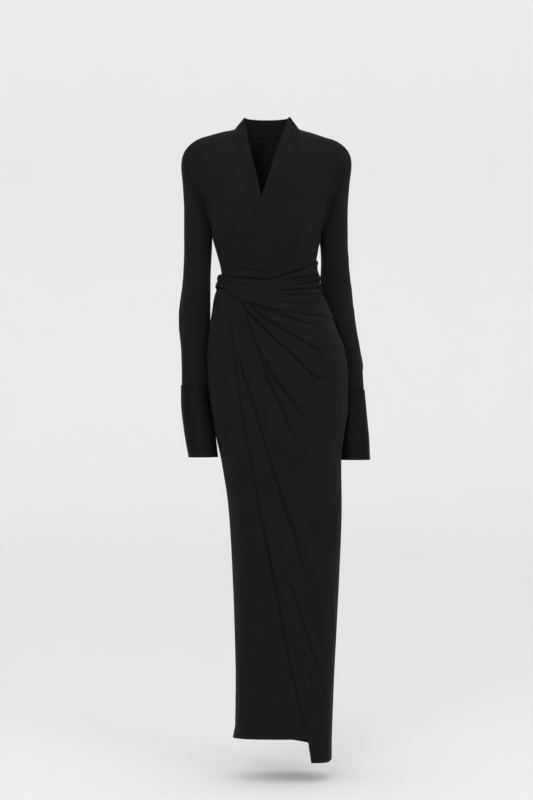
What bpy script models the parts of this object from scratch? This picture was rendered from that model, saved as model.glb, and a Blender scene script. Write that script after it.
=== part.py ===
"""A long jersey wrap dress, kept in the shape that it has when it is worn.

Every size here is in millimetres, and the meshes are made in metres.  +Z is up, the front faces -Y
and +X is the wearer's left.  The origin lies between the shoulders, level with the side neck points.
All panels are cut from one form: a closed section at each height below the underarm, and arched ribs
that rise from the underarm section to the neck and shoulder line above it.
"""
from collections import namedtuple

import bmesh
import bpy
import numpy as np

METRES = 0.001

# Cloth
JERSEY = 1.5            # thickness of one layer of jersey, with its drape
CUFF_CLOTH = 2.4        # a cuff is turned back on itself
DRAPE_CLOTH = 2.0       # the waist drape is pleated
SEAM_GAP = 0.4          # between the edges of two panels
LAP = 3.2               # how far the over front lies outside the under front
DRAPE_LIFT = 3.2        # how far the waist drape lies outside the fronts

# Heights
UNDERARM = -225.0
WAIST = -347.0          # seam of bodice and skirt, hidden under the drape

# Front lines are drawn as they look from this far away, at this height
EYE_DISTANCE = 5000.0
EYE_HEIGHT = -622.0

# The form below the underarm: how far it reaches to each side of the origin, where its middle
# lies front to back, and how square it is
Section = namedtuple("Section", "z right left front back middle square")
BODY = (
    Section(-1478, 82, 150, 90, 88, 0, 0.05),
    Section(-1420, 79, 151, 90, 88, 0, 0.05),
    Section(-1380, 73, 152, 90, 88, 0, 0.05),
    Section(-1300, 72, 155, 90, 89, 0, 0.05),
    Section(-1160, 75, 162, 91, 88, 0, 0.05),
    Section(-1020, 80, 169, 92, 90, 0, 0.045),
    Section(-880, 89, 174, 94, 94, 0, 0.04),
    Section(-764, 106, 173, 96, 100, -2, 0.03),
    Section(-700, 120, 180, 98, 106, -5, 0.02),
    Section(-640, 129, 188, 98, 111, -7, 0.01),
    Section(-570, 137, 188, 98, 115, -8, 0.005),
    Section(-505, 138, 180, 97, 115, -8, 0.005),
    Section(-458, 134, 162, 94, 109, -6, 0.01),
    Section(-411, 127, 143, 90, 99, -4, 0.015),
    Section(-375, 117, 127, 86, 89, -2, 0.02),
    Section(-345, 104, 116, 84, 79, 0, 0.02),
    Section(-317, 107, 113, 89, 76, 0, 0.02),
    Section(-270, 119, 119, 104, 82, 0, 0.03),
    Section(-240, 127, 126, 113, 88, 0, 0.05),
    Section(UNDERARM, 127, 126, 113, 88, 0, 0.05),
)

# The neck and shoulder line, by the rib's angle from the centre front or centre back
Rib = namedtuple("Rib", "angle x y z_right z_left")
SHOULDER = (
    Rib(46, 77, 13, 13, 13),
    Rib(53, 104, 12, 7, 5),
    Rib(59, 134, 12, -1, -5),
    Rib(65, 160, 12, -9, -13),
    Rib(78, 186, 12, -27, -29),
    Rib(90, 205, 12, -58, -58),
)
FRONT_TOP = (
    Rib(0, 0, -50, 20, 20),
    Rib(12, 24, -36, 30, 31),
    Rib(24, 44, -8, 38, 40),
    Rib(30, 51, 13, 41, 43),
    Rib(38, 63, 13, 28, 30),
) + SHOULDER
BACK_TOP = (
    Rib(0, 0, 72, 2, 2),
    Rib(15, 25, 68, 3, 3),
    Rib(30, 51, 50, 7, 7),
    Rib(40, 70, 26, 11, 11),
) + SHOULDER
STAND_ANGLE = 30        # where the front stand ends at the neck
NECK_ANGLE = 46         # side neck point
SHOULDER_ANGLE = 65     # shoulder point
STAND_UPRIGHT = 1.3     # how much steeper the ribs arrive at the front stand
NECK_UPRIGHT = 0.8      # and at the back neck

# The armhole, by the rise of the rib: from the shoulder point round to the underarm
Armhole = namedtuple("Armhole", "rise angle")
ARMHOLE = (
    Armhole(0, 90),
    Armhole(8, 84),
    Armhole(20, 75),
    Armhole(35, 68),
    Armhole(50, 65),
    Armhole(70, 64),
    Armhole(90, SHOULDER_ANGLE),
)

# Free edges, drawn in the front view
Edge = namedtuple("Edge", "z x")
UNDER_FRONT_EDGE = (
    Edge(-370, 92), Edge(-290, 66), Edge(-230, 35), Edge(-185, 8), Edge(-143, -12), Edge(-134, -16),
    Edge(-106, -21), Edge(-49, -35), Edge(7, -47), Edge(60, -55),
)
OVER_FRONT_EDGE = (
    Edge(-370, -86), Edge(-313, -78), Edge(-298, -75), Edge(-249, -54), Edge(-200, -31),
    Edge(-143, -12), Edge(-77, 9), Edge(-21, 27), Edge(7, 38), Edge(60, 56),
)
OVER_SKIRT_EDGE = (
    Edge(-1490, 105), Edge(-1417, 94), Edge(-1321, 75), Edge(-1241, 56), Edge(-1159, 40),
    Edge(-1076, 26), Edge(-987, 9), Edge(-905, -9), Edge(-776, -33), Edge(-623, -59),
    Edge(-505, -73), Edge(-430, -84), Edge(-369, -95), Edge(-330, -92),
)
UNDER_SKIRT_EDGE = 46   # angle of the hidden edge of the under skirt

# Hems, by angle round the body
Hem = namedtuple("Hem", "angle z")
BACK_HEM = (Hem(90, -1463), Hem(150, -1442), Hem(210, -1424), Hem(270, -1416))
OVER_HEM = (Hem(20, -1461), Hem(60, -1464), Hem(90, -1463))
UNDER_HEM = (Hem(-90, -1416), Hem(-50, -1409), Hem(0, -1407), Hem(50, -1407))
LOW_CORNER = -1461      # the over skirt's lowest corner; the last row of a skirt follows its hem
SKIRT_LEVELS = (WAIST, -366, -390, -420, -455, -495, -545, -605, -670, -740, -815, -900, -990,
                -1080, -1170, -1270, -1375, LOW_CORNER)

# The waist drape: it widens from the knot at the wearer's right to the left side, and narrows again
# round the back
Drape = namedtuple("Drape", "angle top bottom")
DRAPE = (
    Drape(-80, -329, -362), Drape(-53, -335, -367), Drape(-35, -340, -384), Drape(-20, -344, -399),
    Drape(-5, -346, -409), Drape(12, -340, -418), Drape(38, -322, -427), Drape(60, -307, -432),
    Drape(90, -295, -432), Drape(135, -302, -418), Drape(180, -311, -401), Drape(225, -320, -383),
    Drape(280, -329, -362),
)
DRAPE_START, DRAPE_SIDE, DRAPE_END = -80, 90, 280
Pleat = namedtuple("Pleat", "across height")
DRAPE_PLEATS = (Pleat(0.0, 0.0), Pleat(0.18, 2.6), Pleat(0.34, 0.4), Pleat(0.52, 2.4),
                Pleat(0.68, 0.4), Pleat(0.84, 2.2), Pleat(1.0, 0.0))

# The knot: a short loop of gathered cloth over the drape's ends
KNOT_ANGLE, KNOT_Z = -78, -346
KNOT_WIDTH, KNOT_HEIGHT, KNOT_THICKNESS = 30.0, 44.0, 7.0
KNOT_LIFT = LAP + DRAPE_LIFT + DRAPE_CLOTH + 0.5
KNOT_RINGS, KNOT_SEGMENTS = 7, 14

# Sleeves: how far they reach out and in from the origin, and where they lie front to back
SleeveSection = namedtuple("SleeveSection", "z outer inner middle half_depth")
RIGHT_SLEEVE = (
    SleeveSection(-757, 181, 118, 0, 42), SleeveSection(-690, 193, 126, 12, 42),
    SleeveSection(-623, 200, 135.5, 22, 42), SleeveSection(-587, 200, 140, 26, 42),
    SleeveSection(-523, 201, 141, 28, 42), SleeveSection(-435, 205, 135, 22, 45),
    SleeveSection(-340, 197, 134.5, 16, 46), SleeveSection(-262, 194, 131, 14, 46),
    SleeveSection(-180, 194, 129, 12, 46), SleeveSection(-90, 199, 127.5, 12, 46),
)
LEFT_SLEEVE = (
    SleeveSection(-765, 242, 174, 65, 42), SleeveSection(-717, 239, 171, 74, 42),
    SleeveSection(-670, 235, 167, 82, 42), SleeveSection(-594, 230, 163, 90, 42),
    SleeveSection(-552, 227, 158, 91, 42), SleeveSection(-505, 222, 150, 88, 42),
    SleeveSection(-458, 213, 142, 82, 43), SleeveSection(-411, 204, 134, 74, 44),
    SleeveSection(-375, 200, 129, 66, 45), SleeveSection(-340, 197, 128, 58, 46),
    SleeveSection(-300, 193, 129.5, 48, 46), SleeveSection(-262, 190, 129.5, 38, 46),
    SleeveSection(-180, 189, 128.5, 20, 46), SleeveSection(-90, 195, 127, 12, 46),
)
CUFF_TOP_RIGHT, CUFF_TOP_LEFT = -587.0, -597.0
CUFF_BOTTOM_RIGHT, CUFF_BOTTOM_LEFT = -757.0, -765.0
CUFF_STEP = 1.0         # how far a cuff stands outside its sleeve
HEAD_MIDDLE, HEAD_SLANT = -190.0, 75.0      # the slanting end of the sleeve head
HEAD_REACH = 1.6        # how far the head carries on past the shoulder before it turns down
UNDERARM_TURN = 4.2     # room for the two layers that meet under the arm

# The back part of the neck stand
BAND_X, BAND_FRONT, BAND_DEPTH, BAND_TOP = 51.0, 13.0, 45.0, 42.0
BAND_ROOM = 1.45        # the band's seam stands this far above the back bodice

# The largest folds, as soft ridges, drawn in the front view
Fold = namedtuple("Fold", "height width route")
SKIRT_FOLDS = (
    Fold(5.0, 15, ((-50, -412), (-10, -432), (60, -462), (112, -484))),
    Fold(7.0, 17, ((-58, -428), (-28, -480), (25, -540), (84, -585), (118, -602))),
    Fold(6.5, 18, ((-66, -470), (-40, -560), (6, -665), (52, -750), (92, -806))),
    Fold(8.0, 18, ((-66, -560), (-30, -675), (35, -820), (64, -900), (101, -1010), (140, -1200))),
    Fold(7.0, 17, ((-8, -940), (30, -1045), (66, -1140), (103, -1251), (140, -1380))),
)
BODICE_FOLDS = (
    Fold(4.5, 16, ((-50, -290), (-15, -268), (40, -228), (88, -170))),
    Fold(3.5, 15, ((-20, -305), (20, -290), (70, -255), (104, -205))),
)

# How finely the panels are divided
STEP_ROUND = 12.0       # degrees between the columns of a plain panel
FOLD_STEP_ROUND = 7.0   # and of the over skirt, which has the folds
RISES = (0, 12, 24, 36, 48, 60, 71, 81, 90)
BODICE_LEVELS = (WAIST - UNDERARM, -96, -70, -45, -20) + RISES
HEAD_ROWS, ARM_ROWS = 5, 9
CUFF_ROWS = 3
BAND_COLUMNS, BAND_ROWS = 10, 2
DRAPE_STEP_ROUND = 12.0


def curve_through(table):
    """A smooth curve through a table's rows by their first column, which never overshoots them."""
    rows = np.array(sorted(table), float)
    at, values = rows[:, 0], rows[:, 1:]
    step = np.diff(at)[:, None]
    slope = np.diff(values, axis=0) / step
    before, after = slope[:-1], slope[1:]
    turns = before * after <= 0
    middle = 2 * before * after / np.where(turns, 1, before + after)
    tangent = np.concatenate([slope[:1], np.where(turns, 0, middle), slope[-1:]])

    def value(x):
        x = np.clip(np.asarray(x, float), at[0], at[-1])
        i = np.clip(np.searchsorted(at, x, side="right") - 1, 0, len(at) - 2)
        t = ((x - at[i]) / step[i, 0])[..., None]
        return ((1 + 2 * t) * (1 - t) ** 2 * values[i] + t * (1 - t) ** 2 * step[i] * tangent[i]
                + t ** 2 * (3 - 2 * t) * values[i + 1] - t ** 2 * (1 - t) * step[i] * tangent[i + 1])
    return value


def fade(x, start, end):
    """0 at start and before it, 1 at end and after it, with a soft change between."""
    t = np.clip((np.asarray(x, float) - start) / (end - start), 0, 1)
    return t * t * (3 - 2 * t)


BODY_AT = curve_through(BODY)
FRONT_TOP_AT = curve_through(FRONT_TOP)
BACK_TOP_AT = curve_through(BACK_TOP)
ARMHOLE_AT = curve_through(ARMHOLE)
DRAPE_AT = curve_through(DRAPE)
BACK_HEM_AT = curve_through(BACK_HEM)
OVER_HEM_AT = curve_through(OVER_HEM)
UNDER_HEM_AT = curve_through(UNDER_HEM)
PLEATS_AT = curve_through(DRAPE_PLEATS)


def body(angle, z):
    """The form below the underarm.  Angle 0 is the centre front and 90 the wearer's left side."""
    turn = np.radians(angle)
    right, left, front, back, middle, square = np.moveaxis(BODY_AT(z), -1, 0)
    across = (np.sin(turn) + square * np.sin(3 * turn)) / (1 - square)
    along = (np.cos(turn) - square * np.cos(3 * turn)) / (1 - square)
    x = (left - right) / 2 + (left + right) / 2 * across
    y = middle - np.where(along > 0, front, back) * along
    return np.stack([x, y, np.broadcast_to(z, x.shape)], -1)


def shoulders(angle, rise):
    """The form above the underarm: a rib at each angle, risen by 0 to 90 degrees."""
    wrapped = (angle + 180) % 360 - 180
    behind = np.abs(wrapped) > 90
    from_middle = np.where(behind, 180 - np.abs(wrapped), np.abs(wrapped))
    top = np.where(behind[..., None], BACK_TOP_AT(from_middle), FRONT_TOP_AT(from_middle))
    top_x = top[..., 0] * np.sign(wrapped)
    top_z = np.where(wrapped < 0, top[..., 2], top[..., 3])
    foot = body(angle, np.full(angle.shape, UNDERARM))
    near_neck = fade(-from_middle, -50, -30)
    power = 1 + near_neck * np.where(behind, NECK_UPRIGHT, STAND_UPRIGHT)
    up = np.sin(np.radians(rise))
    lean = np.clip(np.cos(np.radians(rise)), 0, 1) ** power
    x = foot[..., 0] + (top_x - foot[..., 0]) * up
    y = top[..., 1] + (foot[..., 1] - top[..., 1]) * lean
    return np.stack([x, y, UNDERARM + (top_z - UNDERARM) * up], -1)


def form(angle, level):
    """A point of the form: level is millimetres below the underarm, or degrees of rise above it."""
    angle, level = np.broadcast_arrays(np.asarray(angle, float), np.asarray(level, float))
    below = body(angle, UNDERARM + np.minimum(level, 0))
    above = shoulders(angle, np.clip(level, 0, 90))
    return np.where((level < 0)[..., None], below, above)


def outward(surface, u, v, step_u, step_v):
    """The unit normal of a surface, from its slopes along both parameters."""
    along_u = surface(u + step_u, v) - surface(u - step_u, v)
    along_v = surface(u, v + step_v) - surface(u, v - step_v)
    normal = np.cross(along_u, along_v)
    return normal / np.linalg.norm(normal, axis=-1, keepdims=True)


def form_normal(angle, level):
    return outward(form, np.asarray(angle, float), np.clip(level, -1400, 88.5), 0.5, 0.5)


def seen(point):
    """Where a point appears in the front view, as (x, z)."""
    nearer = EYE_DISTANCE / (EYE_DISTANCE + point[..., 1])
    return np.stack([point[..., 0] * nearer, EYE_HEIGHT + (point[..., 2] - EYE_HEIGHT) * nearer], -1)


def angle_of_edge(edge, level, lowest=-89.0, highest=89.0):
    """The angle at which a free edge, drawn in the front view, crosses each level of the form."""
    edge_x = curve_through(edge)
    level = np.asarray(level, float)
    low, high = np.full(level.shape, lowest), np.full(level.shape, highest)
    for _ in range(40):
        middle = (low + high) / 2
        x, z = np.moveaxis(seen(form(middle, level)), -1, 0)
        short = x < edge_x(z)[..., 0]
        low, high = np.where(short, middle, low), np.where(short, high, middle)
    return (low + high) / 2


def on_form(x, z):
    """The point of the form's front that appears at (x, z) in the front view, below the underarm."""
    height = z
    for _ in range(6):
        angle = angle_of_edge((Edge(-2000, x), Edge(2000, x)), height - UNDERARM)
        nearer = EYE_DISTANCE / (EYE_DISTANCE + form(angle, height - UNDERARM)[..., 1])
        height = EYE_HEIGHT + (z - EYE_HEIGHT) / nearer
    return form(angle, height - UNDERARM)


def lap(angle, level):
    """How far the over front is lifted off the form, to clear the under front.

    The waist drape keeps this lift to the knot and loses it round the back."""
    wrapped = (np.asarray(angle, float) + 180) % 360 - 180
    return LAP * fade(-wrapped, -72, -54) * fade(wrapped, -135, -95) * fade(-level, -60, -20)


def unlifted(angle, level, points):
    """No lift: for a panel that lies on the form."""
    return np.zeros(angle.shape)


def fold_height(points, folds):
    """The height of the soft ridges at each point: each fades out at its ends and to both sides."""
    height = np.zeros(points.shape[:-1])
    for fold in folds:
        route = np.array([on_form(float(x), float(z)) for x, z in fold.route])
        run = np.concatenate([[0], np.cumsum(np.linalg.norm(np.diff(route, axis=0), axis=1))])
        nearest, along = np.full(height.shape, np.inf), np.zeros(height.shape)
        for i, (start, end) in enumerate(zip(route[:-1], route[1:])):
            length = run[i + 1] - run[i]
            share = np.clip((points - start) @ (end - start) / length ** 2, 0, 1)
            gap = np.linalg.norm(points - start - share[..., None] * (end - start), axis=-1)
            closer = gap < nearest
            nearest = np.where(closer, gap, nearest)
            along = np.where(closer, run[i] + share * length, along)
        ends = fade(along, 0, run[-1] * 0.25) * fade(-along, -run[-1], -run[-1] * 0.65)
        height += fold.height * ends * np.exp(-(nearest / fold.width) ** 2)
    return height


def drawn_in(edge, inner):
    """A panel's edge, drawn in by half the seam gap towards the row or column beside it."""
    way = inner - edge
    return edge + way / np.linalg.norm(way, axis=-1, keepdims=True) * SEAM_GAP / 2


def trimmed(points, tube=False):
    """A panel's grid with its edges drawn in; a tube has only its two end rows drawn in."""
    points = points.copy()
    if not tube:
        points[:, 0] = drawn_in(points[:, 0], points[:, 1])
        points[:, -1] = drawn_in(points[:, -1], points[:, -2])
    points[0] = drawn_in(points[0], points[1])
    points[-1] = drawn_in(points[-1], points[-2])
    return points


def grid_normals(points, tube=False):
    """Unit normals of a grid of points, from the rows and columns beside each one."""
    if tube:
        along_row = np.roll(points, -1, axis=1) - np.roll(points, 1, axis=1)
    else:
        along_row = np.gradient(points, axis=1)
    normal = np.cross(along_row, np.gradient(points, axis=0))
    return normal / np.linalg.norm(normal, axis=-1, keepdims=True)


def jersey_material(name, colour, roughness):
    material = bpy.data.materials.new(name)
    material.use_nodes = True
    shader = material.node_tree.nodes["Principled BSDF"]
    shader.inputs["Base Color"].default_value = (*colour, 1)
    shader.inputs["Roughness"].default_value = roughness
    shader.inputs["Metallic"].default_value = 0
    return material


def add_object(name, mesh_maker, material, parent):
    """An object whose mesh is filled by mesh_maker, in metres."""
    shape = bmesh.new()
    mesh_maker(shape)
    bmesh.ops.scale(shape, vec=(METRES, METRES, METRES), verts=shape.verts)
    mesh = bpy.data.meshes.new(name)
    shape.to_mesh(mesh)
    shape.free()
    mesh.shade_smooth()
    mesh.materials.append(material)
    thing = bpy.data.objects.new(name, mesh)
    bpy.context.scene.collection.objects.link(thing)
    thing.parent = parent
    return thing


def add_cloth(name, points, normals, thickness, material, parent, tube=False):
    """A wall of cloth on a grid of points, in rows from the bottom up, which thickens along the
    normals.  Each row of a tube is a closed ring."""
    inner = trimmed(points, tube)
    outer = trimmed(points + normals * thickness, tube)
    rows, columns = points.shape[:2]
    last = columns if tube else columns - 1

    def fill(shape):
        inside = [[shape.verts.new(point) for point in row] for row in inner]
        outside = [[shape.verts.new(point) for point in row] for row in outer]
        for j in range(rows - 1):
            for i in range(last):
                k = (i + 1) % columns
                shape.faces.new((outside[j][i], outside[j][k], outside[j + 1][k], outside[j + 1][i]))
                shape.faces.new((inside[j + 1][i], inside[j + 1][k], inside[j][k], inside[j][i]))
        for i in range(last):
            k = (i + 1) % columns
            shape.faces.new((inside[0][i], inside[0][k], outside[0][k], outside[0][i]))
            shape.faces.new((outside[-1][i], outside[-1][k], inside[-1][k], inside[-1][i]))
        if not tube:
            for j in range(rows - 1):
                shape.faces.new((inside[j + 1][0], inside[j][0], outside[j][0], outside[j + 1][0]))
                shape.faces.new((inside[j][-1], inside[j + 1][-1], outside[j + 1][-1], outside[j][-1]))
    return add_object(name, fill, material, parent)


def between(start, end, levels, step=STEP_ROUND):
    """Angles from start to end at each level, in even steps: one row for each level."""
    start = np.broadcast_to(np.asarray(start, float), (len(levels),))
    end = np.broadcast_to(np.asarray(end, float), (len(levels),))
    count = int(np.ceil(np.max(np.abs(end - start)) / step)) + 1
    share = np.linspace(0, 1, count)
    return start[:, None] + (end - start)[:, None] * share


def armhole_angle(levels):
    return np.where(levels > 0, ARMHOLE_AT(levels)[..., 0], 90)


def bodice_front(edge, side, lift):
    """The grid of one front bodice, from its free edge to its side seam and armhole."""
    levels = np.array(BODICE_LEVELS, float)
    free = angle_of_edge(edge, levels)
    free[-1] = STAND_ANGLE * side
    outer = armhole_angle(levels) * side
    angles = between(free, outer, levels) if side > 0 else between(outer, free, levels)
    heights = np.broadcast_to(levels[:, None], angles.shape)
    points, normals = form(angles, heights), form_normal(angles, heights)
    return points + normals * lift(angles, heights, points)[..., None], normals


def bodice_back():
    levels = np.array(BODICE_LEVELS, float)
    outer = armhole_angle(levels)
    angles = between(180 - outer, 180 + outer, levels)
    heights = np.broadcast_to(levels[:, None], angles.shape)
    return form(angles, heights), form_normal(angles, heights)


def skirt(start, end, hem, lift, step):
    """The grid of one skirt panel, from one side to the other, down to its hem."""
    levels = np.array(SKIRT_LEVELS) - UNDERARM
    angles = between(start, end, levels, step)
    depth = np.repeat(levels[:, None], angles.shape[1], axis=1)
    depth[-1] = hem(angles[-1])[..., 0] - UNDERARM
    points, normals = form(angles, depth), form_normal(angles, depth)
    points = points + normals * lift(angles, depth, points)[..., None]
    return points[::-1], normals[::-1]


def make_skirts(jersey, parent):
    edge = angle_of_edge(OVER_SKIRT_EDGE, np.array(SKIRT_LEVELS) - UNDERARM)
    back = skirt(90, 270, BACK_HEM_AT, unlifted, STEP_ROUND)
    under = skirt(-90, UNDER_SKIRT_EDGE, UNDER_HEM_AT, unlifted, STEP_ROUND)
    over = skirt(edge, 90, OVER_HEM_AT, lambda angle, level, points:
                 lap(angle, level) + fold_height(points, SKIRT_FOLDS), FOLD_STEP_ROUND)
    add_cloth("back_skirt", *back, JERSEY, jersey, parent)
    add_cloth("front_right_skirt", *under, JERSEY, jersey, parent)
    add_cloth("front_left_skirt", *over, JERSEY, jersey, parent)


def make_bodice(jersey, parent):
    over = bodice_front(OVER_FRONT_EDGE, 1, lambda angle, level, points:
                        lap(angle, level) + fold_height(points, BODICE_FOLDS))
    add_cloth("back_bodice", *bodice_back(), JERSEY, jersey, parent)
    under = bodice_front(UNDER_FRONT_EDGE, -1, unlifted)
    add_cloth("front_right_bodice", *under, JERSEY, jersey, parent)
    add_cloth("front_left_bodice", *over, JERSEY, jersey, parent)


def make_neck_band(jersey, parent):
    """The back of the stand: from the back neck seam up to a level edge behind the neck."""
    share = np.linspace(-1, 1, BAND_COLUMNS + 1)
    foot = BACK_TOP_AT(np.abs(share) * NECK_ANGLE)
    seam = np.stack([-foot[:, 0] * np.sign(share), foot[:, 1], foot[:, 2] + BAND_ROOM], -1)
    turn = share * np.pi / 2
    top = np.stack([-BAND_X * np.sin(turn), BAND_FRONT + BAND_DEPTH * np.cos(turn),
                    np.full(share.shape, BAND_TOP)], -1)
    rows = np.linspace(0, 1, BAND_ROWS + 1)[:, None, None]
    points = seam + (top - seam) * rows
    normals = grid_normals(points)
    normals[0] = form_normal(180 + share * NECK_ANGLE, 90)
    add_cloth("back_neck_band", points, normals, JERSEY, jersey, parent)


def drape_points(start, end):
    """The grid of the waist drape, which is pleated lengthwise and fans out from the knot."""
    across = np.array([pleat.across for pleat in DRAPE_PLEATS])[::-1]
    angles = between(start, end, across, DRAPE_STEP_ROUND)
    top, bottom = np.moveaxis(DRAPE_AT(angles), -1, 0)
    levels = top + (bottom - top) * across[:, None] - UNDERARM
    pleats = PLEATS_AT(across)[:, :1] * fade(top - bottom, 30, 70)
    lift = DRAPE_LIFT + lap(angles, levels) + pleats
    normals = form_normal(angles, levels)
    return form(angles, levels) + normals * lift[..., None], normals


def make_drape(jersey, parent):
    add_cloth("waist_drape_front", *drape_points(DRAPE_START, DRAPE_SIDE), DRAPE_CLOTH, jersey, parent)
    add_cloth("waist_drape_back", *drape_points(DRAPE_SIDE, DRAPE_END), DRAPE_CLOTH, jersey, parent)


def make_knot(jersey, parent):
    """A rounded pad of gathered cloth that follows the waist under it."""
    around = np.linspace(0, 2 * np.pi, KNOT_SEGMENTS, endpoint=False)
    radius = abs(body(np.array(float(KNOT_ANGLE)), np.array(float(KNOT_Z)))[0])
    degrees_per_mm = 180 / np.pi / radius

    def place(across, up, out):
        angle = KNOT_ANGLE + across * degrees_per_mm
        level = KNOT_Z + up - UNDERARM
        return form(angle, level) + form_normal(angle, level) * (KNOT_LIFT + out)[..., None]

    def fill(shape):
        rings = []
        for turn in np.linspace(0, np.pi, KNOT_RINGS + 2)[1:-1]:
            width = np.sin(turn) ** 0.6
            up = KNOT_HEIGHT / 2 * np.cos(turn) * np.ones(KNOT_SEGMENTS)
            across = KNOT_WIDTH / 2 * width * np.cos(around)
            out = KNOT_THICKNESS / 2 * (1 + width * np.sin(around))
            rings.append([shape.verts.new(point) for point in place(across, up, out)])
        for upper, lower in zip(rings[:-1], rings[1:]):
            for i in range(KNOT_SEGMENTS):
                k = (i + 1) % KNOT_SEGMENTS
                shape.faces.new((upper[i], lower[i], lower[k], upper[k]))
        shape.faces.new(rings[0])
        shape.faces.new(rings[-1][::-1])
        bmesh.ops.recalc_face_normals(shape, faces=shape.faces)
    add_object("side_knot", fill, jersey, parent)


def arm(section_at, side, turn, z, step_out=0.0):
    """A point of a sleeve's tube.  Turn 0 is its outer side, and it goes round by the front."""
    outer, inner, middle, half_depth = np.moveaxis(section_at(z), -1, 0)
    x = (outer + inner) / 2 + ((outer - inner) / 2 + step_out) * np.cos(turn)
    y = middle - (half_depth + step_out) * np.sin(turn)
    return np.stack([side * x, y, z], -1)


def armhole_seam(side, turn):
    """The angle and the rise at which the sleeve leaves the form, at each turn round the arm."""
    rise = 90 * np.abs(1 - turn / np.pi)
    from_front = ARMHOLE_AT(rise)[..., 0]
    return side * np.where(turn <= np.pi, from_front, 180 - from_front), rise


def sleeve_head(section_at, side, turn, share):
    """The sleeve head: it leaves the armhole along the shoulder and turns down into the tube."""
    angle, rise = armhole_seam(side, turn)
    low = fade(-rise, -38, -6)
    start = form(angle, rise) + form_normal(angle, rise) * (low * UNDERARM_TURN)[..., None]
    end_z = HEAD_MIDDLE + HEAD_SLANT * np.cos(turn)
    end = arm(section_at, side, turn, end_z)
    chord = np.linalg.norm(end - start, axis=-1, keepdims=True)
    toward = np.where(turn <= np.pi, 1.0, -1.0) * side
    leave = form(angle + toward, rise) - form(angle, rise)
    leave = leave / np.linalg.norm(leave, axis=-1, keepdims=True)
    straight = (end - start) / chord
    leave = leave * (1 - low)[..., None] * HEAD_REACH + straight * low[..., None]
    arrive = arm(section_at, side, turn, end_z - 1) - end
    return ((1 + 2 * share) * (1 - share) ** 2 * start + share * (1 - share) ** 2 * chord * leave
            + share ** 2 * (3 - 2 * share) * end - share ** 2 * (1 - share) * chord * arrive)


def around_arm(side):
    """The turns of a sleeve's columns, which meet the bodice's rows.  They run the way round that
    makes the grid's normals point away from the arm."""
    half = np.pi * (1 - np.array(RISES[::-1]) / 90)
    turns = np.concatenate([half, 2 * np.pi - half[-2:0:-1]])
    return turns[::-side]


def sleeve_points(section_at, side, bottom):
    turn = around_arm(side)
    top = HEAD_MIDDLE + HEAD_SLANT * np.cos(turn)
    tube = [arm(section_at, side, turn, bottom + (top - bottom) * share)
            for share in np.linspace(0, 1, ARM_ROWS + 1)[:-1]]
    head = [sleeve_head(section_at, side, turn, share) for share in np.linspace(1, 0, HEAD_ROWS + 1)]
    points = np.array(tube + head)
    normals = grid_normals(points, tube=True)
    angle, rise = armhole_seam(side, turn)
    low = fade(-rise, -40, -10)[:, None]
    at_seam = form_normal(angle, rise) * (1 - low) + normals[-1] * low
    normals[-1] = at_seam / np.linalg.norm(at_seam, axis=-1, keepdims=True)
    return points, normals


def cuff_points(section_at, side, top, bottom):
    turn = around_arm(side)
    rings = [arm(section_at, side, turn, np.full(turn.shape, z), CUFF_STEP)
             for z in np.linspace(bottom, top, CUFF_ROWS + 1)]
    points = np.array(rings)
    return points, grid_normals(points, tube=True)


def make_sleeves(jersey, satin, parent):
    sides = (("right", -1, RIGHT_SLEEVE, CUFF_TOP_RIGHT, CUFF_BOTTOM_RIGHT),
             ("left", 1, LEFT_SLEEVE, CUFF_TOP_LEFT, CUFF_BOTTOM_LEFT))
    for word, side, table, top, bottom in sides:
        section_at = curve_through(table)
        sleeve = sleeve_points(section_at, side, top)
        cuff = cuff_points(section_at, side, top, bottom)
        add_cloth("sleeve_" + word, *sleeve, JERSEY, jersey, parent, tube=True)
        add_cloth("cuff_" + word, *cuff, CUFF_CLOTH, satin, parent, tube=True)


def main():
    for thing in list(bpy.data.objects):
        bpy.data.objects.remove(thing)
    dress = bpy.data.objects.new("wrap_dress", None)
    bpy.context.scene.collection.objects.link(dress)
    jersey = jersey_material("black_jersey", (0.012, 0.012, 0.013), 0.8)
    satin = jersey_material("black_satin_back_crepe", (0.010, 0.010, 0.011), 0.55)
    make_bodice(jersey, dress)
    make_neck_band(jersey, dress)
    make_sleeves(jersey, satin, dress)
    make_skirts(jersey, dress)
    make_drape(jersey, dress)
    make_knot(jersey, dress)


main()
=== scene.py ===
import math
from collections import namedtuple

import bpy
import numpy as np
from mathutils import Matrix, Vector, noise


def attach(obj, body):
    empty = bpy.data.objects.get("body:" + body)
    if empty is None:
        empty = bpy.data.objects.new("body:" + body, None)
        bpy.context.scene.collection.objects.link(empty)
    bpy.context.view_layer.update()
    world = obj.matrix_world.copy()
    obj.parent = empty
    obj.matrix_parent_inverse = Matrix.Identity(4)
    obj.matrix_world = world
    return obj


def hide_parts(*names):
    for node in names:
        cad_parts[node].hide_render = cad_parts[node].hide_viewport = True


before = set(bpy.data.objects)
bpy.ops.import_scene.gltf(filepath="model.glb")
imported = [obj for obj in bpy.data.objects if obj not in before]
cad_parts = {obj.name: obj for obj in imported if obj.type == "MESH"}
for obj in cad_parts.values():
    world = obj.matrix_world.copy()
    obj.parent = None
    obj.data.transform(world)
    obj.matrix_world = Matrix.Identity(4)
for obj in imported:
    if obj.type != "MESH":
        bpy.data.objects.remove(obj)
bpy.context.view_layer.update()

BODY_NAME = "root"
METRES = 0.001

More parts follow.
